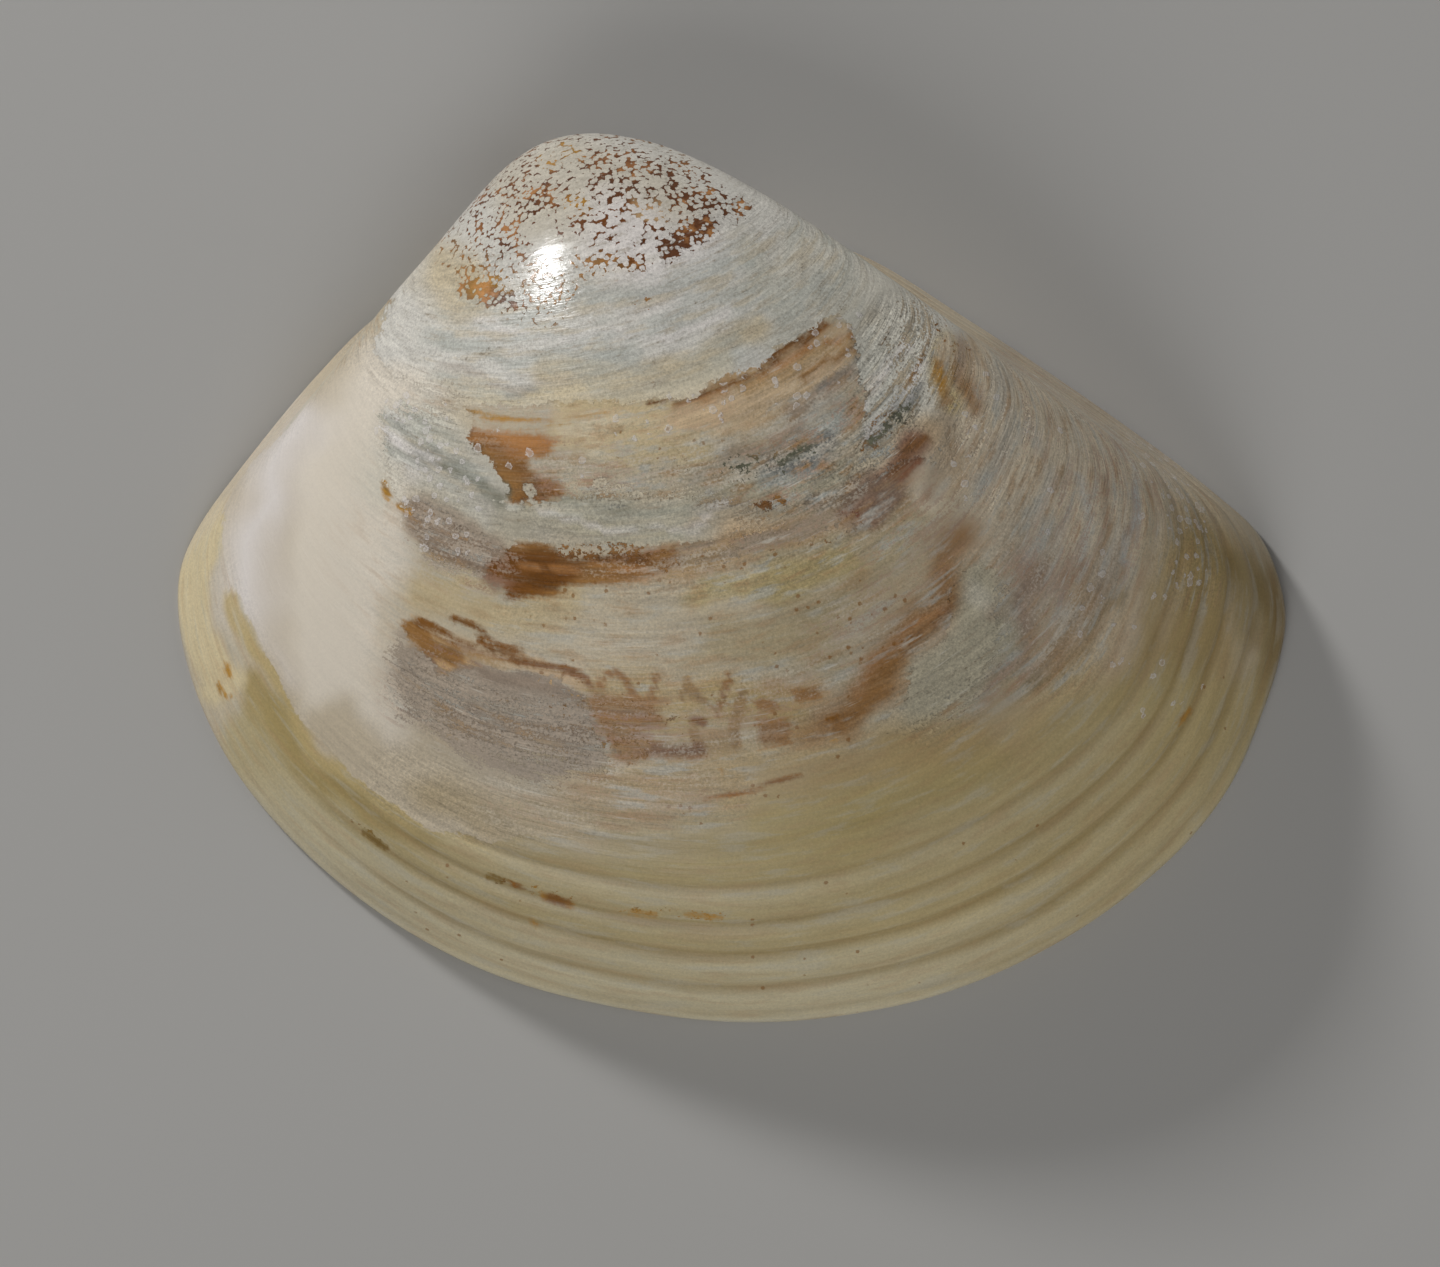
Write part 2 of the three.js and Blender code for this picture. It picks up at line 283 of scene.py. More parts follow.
# Soft strokes of the ground colour, in photograph pixels: colour, half width, softness, strength, line
STROKE_WANDER = 5
GROUND = [
    ("olive cream", 150, 120, 1.0, [(560, 960), (760, 960), (960, 900), (1130, 800)]),
    ("taupe", 150, 90, 1.0, [(1030, 330), (1130, 460), (1190, 540)]),
    ("dark taupe", 34, 40, 0.5, [(1030, 540), (1060, 600), (1020, 680), (960, 730)]),
    ("posterior tan", 40, 50, 1.0, [(1215, 520), (1200, 620), (1150, 700)]),
    ("tan", 30, 40, 0.5, [(1120, 620), (1090, 690), (1020, 760)]),
    ("olive cream", 60, 60, 1.0, [(1130, 740), (1040, 810), (900, 850), (760, 850), (620, 850)]),
    ("olive", 26, 30, 0.9, [(700, 645), (760, 640), (840, 610), (900, 560)]),
    ("olive", 24, 30, 0.8, [(780, 580), (850, 540), (930, 500)]),
    ("cream", 24, 18, 1.0, [(520, 612), (600, 632), (680, 640)]),
    ("warm cream", 22, 24, 1.0, [(420, 590), (480, 602), (560, 606)]),
    ("cream", 34, 30, 0.9, [(500, 800), (600, 795), (690, 780)]),
    ("shell pink", 60, 40, 1.0, [(390, 400), (350, 500), (345, 620), (360, 690)]),
    ("pale pink", 30, 30, 1.0, [(340, 715), (380, 770), (450, 812), (500, 815)]),
    ("pale pink", 20, 22, 0.6, [(395, 610), (380, 680), (400, 740)]),
    ("white", 20, 70, 1.0, [(300, 424), (268, 475), (250, 540), (254, 600)]),
    ("white", 8, 40, 0.5, [(262, 620), (284, 680)]),
    ("front olive", 42, 30, 1.0, [(262, 744), (310, 804), (380, 856), (470, 896)]),
    ("margin olive", 12, 16, 0.9, [(240, 680), (296, 758), (360, 812), (430, 850)]),
    ("margin yellow", 20, 10, 1.0, [(212, 510), (192, 570), (196, 630), (215, 680)]),
    ("ochre cream", 9, 9, 0.8, [(238, 600), (262, 668), (300, 728), (352, 780), (420, 828), (490, 850)]),
    ("cream", 30, 18, 1.0, [(560, 460), (640, 470), (700, 460)]),
    ("yellow cream", 20, 16, 1.0, [(560, 428), (640, 424), (690, 420)]),
    ("tan", 24, 18, 1.0, [(660, 430), (720, 410), (790, 384), (852, 350)]),
    ("deep tan", 12, 12, 0.9, [(700, 396), (760, 378), (810, 356), (850, 336)]),
    ("shell pink", 12, 12, 0.6, [(640, 452), (700, 440)]),
    ("pale green", 18, 24, 0.8, [(374, 400), (368, 450), (388, 486)]),
    ("grey green", 22, 16, 1.0, [(520, 512), (600, 516), (680, 522), (760, 508), (830, 480)]),
    ("slate", 10, 16, 0.35, [(700, 478), (760, 466), (800, 452), (842, 425)]),
    ("blue grey", 12, 14, 0.8, [(770, 478), (810, 450), (846, 418)]),
    ("film grey", 14, 14, 0.8, [(800, 420), (830, 396), (856, 370)]),
    ("tan", 13, 12, 1.0, [(668, 552), (720, 546), (780, 538), (830, 520)]),
    ("deep tan", 9, 10, 0.8, [(640, 566), (700, 560), (770, 548), (815, 536)]),
    ("olive cream", 14, 14, 0.7, [(700, 590), (780, 580), (850, 566)]),
    ("reddish", 20, 20, 0.5, [(850, 512), (900, 480), (930, 450)]),
    ("taupe", 22, 24, 1.0, [(960, 400), (952, 440), (930, 490)]),
    ("film grey", 12, 14, 0.7, [(1000, 350), (1010, 420), (985, 480)]),
    ("pale pink", 20, 26, 0.7, [(850, 640), (900, 600), (940, 560)]),
    ("cream", 16, 14, 0.8, [(700, 775), (800, 765), (870, 745)]),
    ("olive cream", 16, 14, 0.7, [(690, 705), (730, 712), (790, 706)]),
    ("mauve", 16, 24, 0.6, [(1035, 580), (1015, 650), (972, 695), (930, 725)]),
    ("deep lavender", 14, 20, 0.4, [(1120, 560), (1090, 620), (1040, 680)]),
    ("pale green", 36, 22, 1.0, [(412, 430), (446, 462), (486, 492)]),
    ("white", 12, 16, 0.5, [(392, 420), (420, 470)]),
    ("lavender", 18, 18, 1.0, [(420, 520), (456, 544), (500, 560)]),
    ("deep lavender", 6, 8, 0.8, [(420, 540), (456, 562), (496, 576)]),
    ("lavender", 46, 34, 1.0, [(430, 690), (480, 712), (556, 728)]),
    ("film grey", 14, 20, 0.6, [(430, 690), (480, 700), (560, 715)]),
    ("deep lavender", 4, 8, 0.6, [(400, 716), (441, 742), (480, 765), (530, 770)]),
    ("pale tan", 26, 24, 1.0, [(440, 796), (500, 812), (560, 816), (640, 806)]),
    ("grey green", 36, 26, 1.0, [(972, 590), (982, 640), (935, 700)]),
    ("pale green", 9, 12, 0.5, [(975, 585), (985, 600)]),
    ("dark taupe", 10, 12, 0.6, [(1010, 560), (1006, 615), (990, 612)]),
    ("blue white", 4, 5, 0.8, [(1116, 425), (1131, 462), (1137, 510), (1131, 560)]),
    ("blue white", 5, 6, 0.5, [(1070, 470), (1085, 520), (1078, 580)]),
    ("film grey", 6, 8, 0.6, [(1040, 420), (1050, 480), (1030, 560)]),
    ("deep lavender", 5, 8, 0.5, [(1100, 470), (1108, 530), (1096, 590)]),
    ("posterior olive", 5, 8, 0.5, [(1118, 590), (1080, 650), (1040, 690)]),
    ("ochre cream", 16, 16, 0.5, [(950, 365), (945, 395)]),
    ("brown", 12, 16, 0.5, [(962, 345), (972, 395)]),
    ("pale tan", 5, 6, 0.5, [(424, 268), (376, 314), (329, 354), (296, 388)]),
    # The next two strokes darken the right rim: partly its olive colour, partly painted shade where the shell turns
    # away from the light
    ("posterior olive", 14, 14, 0.9, [(1225, 500), (1262, 560), (1278, 620)]),
    ("groove olive", 12, 16, 0.8, [(1266, 570), (1280, 630), (1266, 690)]),
    ("posterior tan", 22, 20, 0.8, [(1215, 640), (1200, 700), (1160, 760)]),
    ("deep tan", 14, 14, 0.8, [(776, 692), (820, 690)]),
    ("tan", 11, 10, 1.0, [(434, 640), (450, 648), (500, 656), (560, 672), (596, 690)]),
    ("pale tan", 20, 24, 0.8, [(600, 802), (700, 800)]),
    ("brown", 9, 12, 0.7, [(640, 742), (690, 748), (730, 748)]),
    ("brown", 9, 12, 1.0, [(888, 672), (868, 704), (840, 724)]),
    ("ochre cream", 9, 14, 0.9, [(630, 456), (700, 450)]),
    ("ochre cream", 9, 14, 0.6, [(640, 432), (704, 428)]),
    ("deep tan", 12, 20, 0.5, [(930, 430), (960, 480)]),
    ("brown", 7, 12, 0.5, [(952, 350), (976, 400)]),
    ("deep tan", 16, 24, 0.5, [(1084, 596), (1060, 656)]),
    # Right rim darker: partly olive colour, partly painted shade
    ("posterior olive", 8, 14, 0.7, [(1272, 640), (1240, 740)]),
    ("pale tan", 14, 20, 0.7, [(372, 690), (392, 720)]),
    ("pale tan", 20, 30, 0.7, [(850, 622), (900, 592), (930, 560)]),
    ("posterior tan", 10, 14, 0.6, [(1154, 590), (1138, 680)]),
    # Right rim darker: partly olive colour, partly painted shade
    ("posterior olive", 16, 20, 0.7, [(1240, 560), (1262, 640)]),
    ("bright cream", 12, 16, 0.9, [(560, 426), (640, 420), (720, 414)]),
    ("bright cream", 12, 16, 0.7, [(600, 452), (690, 448)]),
    ("olive", 24, 30, 0.7, [(510, 832), (620, 834), (720, 824)]),
    ("warm rib", 46, 60, 0.8, [(1180, 720), (1140, 800), (1050, 890), (900, 955)]),
    ("posterior tan", 26, 36, 0.75, [(600, 800), (700, 768), (800, 772), (880, 758), (960, 738)]),
    ("pale tan", 26, 30, 0.8, [(540, 776), (600, 800), (580, 826)]),
    ("brown", 16, 26, 0.9, [(966, 534), (940, 592), (904, 640), (872, 684), (846, 714), (800, 734)]),
    ("chestnut", 4, 8, 0.7, [(950, 590), (910, 646), (878, 690), (838, 722)]),
    ("orange brown", 4, 8, 0.6, [(930, 606), (890, 650), (856, 690)]),
    ("yellow cream", 14, 16, 1.0, [(556, 404), (640, 412), (720, 404)]),
    ("yellow cream", 14, 16, 0.9, [(616, 446), (690, 452)]),
    ("dark taupe", 10, 16, 0.8, [(940, 400), (946, 450), (930, 490)]),
    ("ochre", 5, 8, 0.8, [(940, 352), (944, 398)]),
    ("reddish", 12, 16, 0.8, [(916, 452), (888, 482), (850, 500)]),
    ("chestnut", 4, 6, 0.9, [(924, 444), (904, 466), (884, 480)]),
    ("mauve", 6, 10, 0.8, [(896, 500), (868, 514)]),
    ("dark taupe", 14, 20, 0.6, [(700, 520), (760, 520), (810, 500)]),
    ("olive", 20, 24, 0.6, [(820, 620), (760, 640), (840, 660)]),
    ("lavender", 10, 14, 0.8, [(792, 410), (822, 396), (852, 380)]),
    ("slate", 9, 12, 0.8, [(768, 464), (800, 452), (830, 438)]),
    ("slate", 5, 8, 0.7, [(822, 386), (846, 373)]),
    ("deep lavender", 12, 16, 0.7, [(818, 496), (858, 486), (892, 496)]),
    ("deep lavender", 8, 12, 0.6, [(720, 458), (764, 446), (796, 428)]),
    ("brown", 7, 10, 0.7, [(700, 548), (752, 546)]),
    ("brown", 6, 9, 0.7, [(782, 538), (812, 528)]),
    ("ochre cream", 36, 40, 0.7, [(1240, 700), (1180, 810), (1090, 890), (980, 950)]),
    ("posterior tan", 26, 36, 0.8, [(606, 690), (690, 708), (780, 710)]),
    ("deep tan", 20, 30, 0.3, [(560, 790), (640, 800), (740, 790)]),
    ("brown", 12, 16, 0.9, [(896, 664), (872, 704), (842, 726)]),
    ("cream", 50, 60, 0.35, [(940, 850), (1040, 820), (1110, 760)]),
    ("margin olive", 20, 30, 0.35, [(250, 760), (310, 840), (400, 900)]),
]

# Colour of the chalky layer over the beak, painted the same way on top of the ground
CHALK = [
    ("chalk", 120, 30, 1.0, [(400, 250), (540, 270), (700, 270), (860, 300)]),
    ("chalk", 60, 30, 1.0, [(520, 150), (640, 160), (760, 220)]),
    ("cream", 50, 40, 0.5, [(540, 190), (600, 200), (660, 215)]),
    ("grey chalk", 36, 28, 1.0, [(650, 270), (720, 262), (770, 290), (780, 320)]),
    ("chalk", 14, 14, 1.0, [(560, 330), (640, 322), (700, 330), (760, 330)]),
    ("bright cream", 11, 14, 0.9, [(480, 396), (560, 398), (660, 388), (724, 370)]),
    ("warm cream", 12, 14, 0.8, [(540, 374), (620, 374), (700, 358), (760, 334)]),
    # White patch beside the highlight on the beak: partly whiter chalk, partly painted light spreading from the
    # highlight
    ("white", 38, 50, 0.9, [(620, 230), (660, 272), (700, 260)]),
    ("warm cream", 24, 30, 0.8, [(440, 270), (470, 300)]),
    ("posterior chalk", 40, 30, 1.0, [(820, 260), (880, 330), (900, 380)]),
    ("grey chalk", 20, 16, 0.7, [(840, 300), (870, 360), (880, 420)]),
    ("blue grey", 6, 8, 0.6, [(450, 345), (540, 358), (640, 352)]),
    ("lavender", 3, 5, 0.4, [(440, 366), (520, 384), (560, 388)]),
    ("slate", 3, 4, 0.7, [(506, 387), (530, 388)]),
    ("blue grey", 8, 9, 0.5, [(560, 300), (660, 292), (750, 262)]),
    ("white", 5, 6, 0.5, [(480, 326), (580, 338), (680, 330), (760, 300)]),
    ("warm cream", 6, 8, 0.5, [(470, 395), (560, 396), (640, 390)]),
    ("slate", 4, 5, 0.6, [(866, 452), (890, 424), (912, 396)]),
    ("slate", 3, 4, 0.6, [(884, 436), (904, 410), (922, 380)]),
    ("white", 4, 5, 0.8, [(874, 440), (900, 404), (926, 356)]),
    ("white", 4, 5, 0.7, [(858, 430), (880, 392), (905, 340)]),
    ("green dark", 3.2, 5, 0.6, [(365, 404), (398, 424), (430, 447), (470, 470), (508, 503)]),
    ("green dark", 3.2, 5, 0.6, [(390, 446), (430, 466), (474, 484), (514, 501)]),
    ("green dark", 2.6, 5, 0.5, [(380, 398), (420, 420), (462, 446)]),
    ("white", 3.5, 5, 0.7, [(372, 420), (410, 446), (450, 468), (500, 496)]),
    ("slate", 12, 16, 0.35, [(420, 452), (460, 478), (500, 502)]),
    ("film grey", 22, 28, 0.7, [(450, 470), (490, 498), (545, 520)]),
    ("slate", 40, 50, 0.25, [(450, 480), (500, 505), (590, 520)]),
    ("slate", 12, 18, 0.3, [(710, 506), (760, 508), (806, 500)]),
    ("slate", 8, 12, 0.35, [(876, 446), (908, 394)]),
    ("grey green", 14, 20, 0.5, [(510, 514), (560, 521), (640, 520)]),
    ("green dark", 3, 4, 0.5, [(560, 500), (620, 508), (690, 506)]),
    ("white", 3, 4, 0.5, [(540, 516), (620, 526), (700, 522), (780, 500)]),
    ("green dark", 8, 12, 0.7, [(440, 466), (480, 486), (500, 494)]),
    ("lavender film", 26, 24, 1.0, [(430, 540), (470, 556)]),
    ("lavender film", 60, 20, 1.0, [(420, 690), (480, 715), (560, 730)]),
    ("deep lavender", 8, 12, 0.6, [(480, 672), (560, 690), (580, 706)]),
    ("ochre cream", 10, 14, 0.8, [(942, 340), (946, 400)]),
    ("brown", 8, 12, 0.6, [(958, 340), (972, 396)]),
]

# Colour of the pale skin at the front end, and the ragged edge of it
SKIN = [
    ("shell pink", 60, 40, 1.0, [(390, 400), (350, 500), (345, 620), (360, 690)]),
    ("pale pink", 30, 30, 1.0, [(340, 725), (380, 775), (450, 815), (500, 818)]),
    ("white", 20, 70, 1.0, [(300, 424), (268, 475), (250, 540), (254, 600)]),
    ("white", 8, 40, 0.5, [(262, 620), (284, 680)]),
    ("yellow cream", 20, 40, 0.6, [(440, 570), (430, 600), (400, 620)]),
    ("pale tan", 22, 30, 1.0, [(440, 796), (500, 812), (600, 815)]),
]
SKIN_EDGE = [(440, 270), (330, 378), (240, 478), (220, 540), (265, 650), (365, 785), (430, 830), (490, 840)]

# Outlines of the chalky layer, where it still covers the colours below
CHALK_AREAS = [
    [(372, 352), (400, 270), (450, 190), (520, 110), (640, 110), (780, 170), (960, 280), (1040, 340), (1050, 420), (1010, 500),
     (970, 520), (940, 470), (918, 452), (880, 480), (846, 482), (862, 438), (868, 400), (861, 375), (857, 350), (850, 328),
     (838, 318), (823, 320), (808, 332), (791, 340), (777, 349), (769, 357), (761, 365), (746, 373), (727, 374), (720, 381),
     (699, 390), (676, 397), (648, 401), (600, 405), (560, 404), (500, 404), (464, 402), (430, 398), (400, 380)],
    [(395, 400), (440, 405), (468, 415), (470, 427), (466, 440), (479, 447), (490, 459), (502, 474), (509, 487), (509, 499),
     (500, 505), (450, 503), (400, 505), (384, 478), (374, 440), (380, 410)],
    [(523, 487), (533, 486), (537, 492), (532, 499), (525, 498)],
    [(545, 505), (575, 495), (600, 482), (680, 486), (760, 500), (800, 508), (770, 530), (700, 541), (620, 546), (577, 545),
     (571, 556), (556, 556), (556, 542), (525, 540), (505, 530), (500, 520), (515, 508)],
    [(402, 500), (400, 525), (410, 545), (425, 560), (445, 572), (470, 582), (482, 582), (484, 560), (500, 556), (512, 542), (540, 530),
     (520, 510), (480, 500)],
    [(403, 630), (406, 644), (420, 654), (427, 662), (440, 673), (447, 675), (458, 668), (480, 667), (503, 672), (530, 671),
     (560, 680), (584, 698), (590, 720), (602, 745), (610, 772), (560, 790), (520, 780), (480, 770), (441, 748), (400, 720),
     (388, 690), (385, 655), (392, 635)],
    [(956, 582), (952, 602), (953, 613), (949, 627), (942, 643), (926, 652), (912, 665), (904, 706), (884, 722), (880, 731),
     (898, 736), (930, 735), (962, 715), (992, 680), (1012, 645), (1020, 605), (1008, 578), (985, 562), (966, 566)],
]

# On the wall along the hinge the chalky layer ends at this growth stage
WALL_CHALK_END = 0.74

# Where the chalky layer thins out into streaks and flakes: strength, half width, softness, line
THINNED = [
    (0.5, 26, 40, [(925, 300), (905, 380), (870, 470)]),
    (0.85, 12, 16, [(944, 346), (942, 400)]),
    (0.72, 50, 40, [(1010, 350), (1010, 420), (980, 500)]),
    (0.9, 14, 24, [(1046, 360), (1050, 430), (1010, 510)]),
    (0.8, 12, 24, [(372, 392), (372, 440), (386, 496)]),
    (0.6, 20, 24, [(400, 398), (450, 404)]),
    (0.62, 14, 20, [(560, 490), (640, 484), (720, 490), (806, 506)]),
    (0.48, 30, 30, [(800, 505), (760, 520)]),
    (0.52, 30, 20, [(420, 530), (450, 556), (490, 570)]),
    (0.42, 40, 30, [(430, 690), (480, 720), (570, 730)]),
    (0.7, 16, 30, [(384, 640), (388, 700), (440, 756), (520, 790), (610, 780)]),
    (0.65, 20, 30, [(1014, 580), (1016, 640), (980, 700), (930, 735)]),
]

# Outline of the pale skin at the front end, which ends in a ragged crescent over the olive margin
SKIN_AREA = [
    (440, 270), (375, 330), (330, 378), (285, 428), (240, 478), (224, 508), (220, 540), (235, 590), (265, 650), (300, 720),
    (365, 785), (430, 830), (490, 840), (560, 836), (620, 822), (640, 780), (560, 600), (560, 300),
]

# Outlines and lines of the brown marks
MARK_AREAS = [
    [(470, 427), (460, 442), (470, 454), (482, 466), (498, 480), (504, 492), (506, 503), (530, 503), (542, 502), (564, 496),
     (559, 480), (542, 476), (531, 469), (528, 459), (545, 458), (551, 456), (554, 445), (565, 439), (540, 434), (500, 432)],
    [(486, 559), (505, 559), (505, 582), (488, 580)],
    [(503, 545), (516, 541), (540, 543), (556, 548), (571, 557), (600, 554), (628, 551), (660, 546), (700, 540), (740, 533),
     (790, 522), (830, 508), (848, 512), (820, 532), (770, 548), (720, 560), (672, 570), (630, 582), (600, 584), (562, 587), (556, 598), (505, 598), (503, 575)],
    [(401, 622), (404, 636), (418, 650), (427, 658), (440, 670), (447, 672), (458, 664), (480, 663), (503, 668), (492, 658),
     (470, 650), (448, 640), (430, 630), (414, 618)],
    [(500, 655), (530, 664), (562, 672), (584, 684), (592, 694), (600, 690), (586, 676), (560, 665), (535, 660), (510, 652)],
    [(584, 697), (600, 693), (640, 697), (670, 699), (671, 704), (654, 709), (669, 721), (669, 728), (642, 729), (650, 739),
     (670, 745), (692, 744), (707, 743), (709, 753), (698, 760), (660, 758), (625, 763), (612, 759), (608, 740), (598, 726),
     (588, 708)],
    [(756, 718), (790, 718), (792, 744), (758, 746)],
    [(794, 690), (818, 690), (822, 700), (798, 702)],
    [(900, 468), (920, 446), (930, 448), (922, 462), (904, 478), (890, 484)],
    [(912, 416), (930, 412), (934, 426), (920, 434)],
    [(936, 366), (944, 362), (946, 390), (938, 394)],
    [(676, 402), (700, 393), (722, 384), (746, 376), (764, 368), (776, 352), (792, 343), (810, 334), (824, 323), (840, 322),
     (856, 328), (862, 352), (848, 366), (822, 381), (792, 398), (750, 418), (716, 431), (690, 434), (660, 422)],
    [(699, 214), (735, 211), (737, 219), (704, 243), (676, 259), (655, 259), (658, 242), (688, 236)],
    [(458, 276), (500, 278), (520, 290), (520, 304), (495, 304), (470, 301), (458, 290)],
]

# Colour of the marks: colour, half width, softness, strength, line
MARKS = [
    ("orange brown", 14, 8, 1.0, [(470, 436), (520, 438), (560, 440)]),
    ("brown", 16, 10, 1.0, [(505, 462), (530, 480), (550, 495)]),
    ("chestnut", 10, 14, 0.45, [(476, 438), (516, 452), (548, 488)]),
    ("green dark", 18, 12, 1.0, [(700, 470), (760, 474), (812, 452)]),
    ("chestnut", 12, 8, 1.0, [(758, 504), (770, 507)]),
    ("ochre", 10, 8, 1.0, [(486, 875), (560, 900), (720, 917)]),
    ("chestnut", 6, 5, 0.8, [(518, 496), (560, 497)]),
    ("dark taupe", 20, 14, 1.0, [(690, 556), (740, 544), (790, 530), (846, 512)]),
    ("deep tan", 5, 7, 0.8, [(690, 552), (740, 540), (790, 528)]),
    ("brown", 22, 20, 1.0, [(600, 566), (660, 560)]),
    ("dark brown", 22, 16, 1.0, [(490, 570), (525, 575), (556, 572)]),
    ("chestnut", 6, 6, 1.0, [(560, 562), (600, 560), (640, 556)]),
    ("orange brown", 2.5, 4, 0.8, [(516, 571), (560, 572), (610, 572), (640, 568)]),
    ("chestnut", 6, 6, 0.5, [(412, 640), (440, 662), (452, 664)]),
    ("deep tan", 24, 12, 1.0, [(410, 625), (440, 655), (500, 662), (590, 684)]),
    ("brown", 11, 8, 1.0, [(404, 622), (428, 648), (452, 664)]),
    ("arc tan", 34, 20, 1.0, [(600, 720), (660, 728), (740, 736)]),
    ("brown", 30, 24, 0.5, [(600, 720), (660, 728)]),
    ("brown", 5, 7, 1.0, [(592, 700), (606, 740), (640, 756)]),
    ("brown", 4, 6, 0.8, [(612, 704), (650, 702)]),
    ("brown", 5, 6, 0.9, [(626, 726), (654, 722)]),
    ("brown", 12, 14, 0.9, [(604, 703), (634, 706), (660, 724)]),
    ("brown", 9, 12, 0.9, [(650, 746), (704, 750)]),
    ("brown", 22, 20, 0.9, [(770, 738), (840, 722), (890, 690), (930, 640)]),
    ("chestnut", 5, 7, 0.9, [(800, 734), (850, 716), (894, 680)]),
    ("mauve", 20, 14, 0.9, [(940, 600), (965, 560), (978, 530)]),
    ("reddish", 24, 10, 1.0, [(850, 492), (900, 470), (925, 450)]),
    ("chestnut", 10, 6, 0.7, [(900, 462), (922, 448)]),
    ("ochre", 8, 6, 0.9, [(942, 364), (944, 396)]),
    ("brown", 14, 6, 0.9, [(962, 350), (970, 396)]),
    ("tan", 44, 10, 1.0, [(690, 420), (770, 400), (850, 350)]),
    ("deep tan", 7, 8, 1.0, [(740, 390), (790, 368), (850, 334)]),
    ("orange brown", 3, 5, 0.9, [(700, 396), (756, 378), (806, 350), (850, 330)]),
    ("brown", 5, 6, 0.9, [(806, 376), (836, 362), (858, 346)]),
    ("umbo brown", 60, 20, 1.0, [(500, 200), (600, 190), (680, 220), (720, 225)]),
    ("ochre", 12, 8, 0.8, [(470, 286), (495, 286)]),
    ("umbo brown", 10, 6, 0.9, [(490, 297), (520, 300)]),
]

# Thin brown lines: colour, half width, line
LINES = [
    ("ochre", 1.8, [(464, 409), (490, 417), (520, 421), (560, 422), (585, 419), (608, 415)]),
    ("chestnut", 2.4, [(420, 620), (435, 626), (445, 633), (455, 640), (470, 646), (485, 650), (515, 657)]),
    ("chestnut", 2.4, [(452, 619), (470, 624), (482, 631), (490, 640), (500, 645), (520, 648)]),
    ("chestnut", 2.6, [(480, 640), (495, 652), (520, 662), (545, 666), (565, 668), (580, 674), (590, 682)]),
    ("brown", 3.0, [(599, 688), (604, 677), (614, 671), (622, 676), (628, 684), (634, 695)]),
    ("brown", 3.0, [(656, 674), (656, 683), (649, 697)]),
    ("arc tan", 3.8, [(687, 680), (683, 697)]),
    ("arc tan", 3.8, [(688, 682), (698, 698), (705, 701)]),
    ("chestnut", 5.0, [(693, 721), (703, 722)]),
    ("arc tan", 4.4, [(694, 733), (701, 750)]),
    ("brown", 3.2, [(729, 677), (726, 686), (722, 700), (717, 714)]),
    ("arc tan", 4.8, [(743, 693), (739, 708), (734, 727), (736, 745)]),
    ("brown", 4.6, [(761, 704), (773, 707)]),
    ("chestnut", 3.0, [(656, 750), (700, 751)]),
    ("ochre", 1.6, [(833, 740), (836, 742)]),
    ("ochre", 1.6, [(719, 769), (722, 771)]),
    ("rust", 2.4, [(828, 719), (838, 717)]),
    ("rust", 1.6, [(705, 800), (730, 794), (757, 789), (776, 781), (800, 775)]),
    ("ochre", 3.8, [(544, 896), (572, 905)]),
    ("rust", 2.2, [(550, 899), (564, 902)]),
    ("groove olive", 1.8, [(488, 876), (504, 880)]),
    ("rust", 1.4, [(512, 884), (524, 888)]),
    ("ochre", 1.2, [(630, 912), (656, 915)]),
    ("ochre", 1.2, [(686, 914), (720, 917)]),
    ("ochre", 2.4, [(1180, 722), (1190, 710)]),
    ("ochre", 1.8, [(226, 664), (230, 676)]),
    ("ochre", 1.6, [(218, 684), (222, 694), (230, 697)]),
    ("ochre", 1.6, [(530, 920), (540, 927)]),
    ("chestnut", 1.8, [(648, 404), (676, 400), (699, 393), (720, 384), (746, 376)]),
    ("chestnut", 2.2, [(761, 368), (777, 352), (791, 343), (808, 335), (823, 323)]),
    ("ochre", 3.0, [(384, 482), (388, 496)]),
    ("ochre", 2.4, [(400, 506), (412, 511)]),
    ("green dark", 2.4, [(393, 421), (430, 442), (468, 466)]),
    ("green dark", 3.0, [(455, 474), (480, 484), (504, 491)]),
    ("green dark", 2.2, [(440, 446), (470, 456)]),
    ("green dark", 3.0, [(508, 387), (522, 387)]),
    ("green dark", 3.4, [(780, 462), (798, 452), (812, 446)]),
    ("green dark", 3.6, [(896, 420), (908, 405)]),
    ("green dark", 2.6, [(872, 440), (890, 425)]),
    ("deep lavender", 2.6, [(456, 527), (482, 532)]),
    ("groove olive", 2.2, [(364, 832), (386, 848)]),
    ("umbo brown", 5.0, [(668, 170), (672, 192)]),
    ("umbo brown", 4.0, [(672, 196), (698, 197)]),
    ("ochre", 4.0, [(566, 150), (574, 152)]),
    ("ochre", 4.0, [(546, 161), (553, 160)]),
    ("ochre", 3.4, [(571, 206), (582, 203)]),
    ("deep tan", 5.0, [(638, 210), (660, 212)]),
]

# Where the chalky skin of the beak is worn through in flecks: strength, half width, softness, line
WORN = [
    (0.34, 40, 30, [(500, 200), (560, 166), (620, 166), (670, 185)]),
    (0.24, 30, 24, [(580, 215), (640, 225)]),
    (0.5, 14, 14, [(700, 196), (736, 208)]),
    (0.54, 12, 14, [(506, 236), (520, 205), (545, 190)]),
    (0.52, 12, 12, [(596, 186), (622, 182), (650, 190)]),
    (0.66, 12, 14, [(664, 178), (682, 198), (706, 206)]),
    (0.92, 12, 12, [(704, 226), (668, 248)]),
    (0.34, 34, 26, [(470, 240), (500, 270), (540, 290)]),
    (0.95, 10, 12, [(470, 288), (505, 297)]),
    (0.44, 12, 14, [(585, 265), (640, 262)]),
]

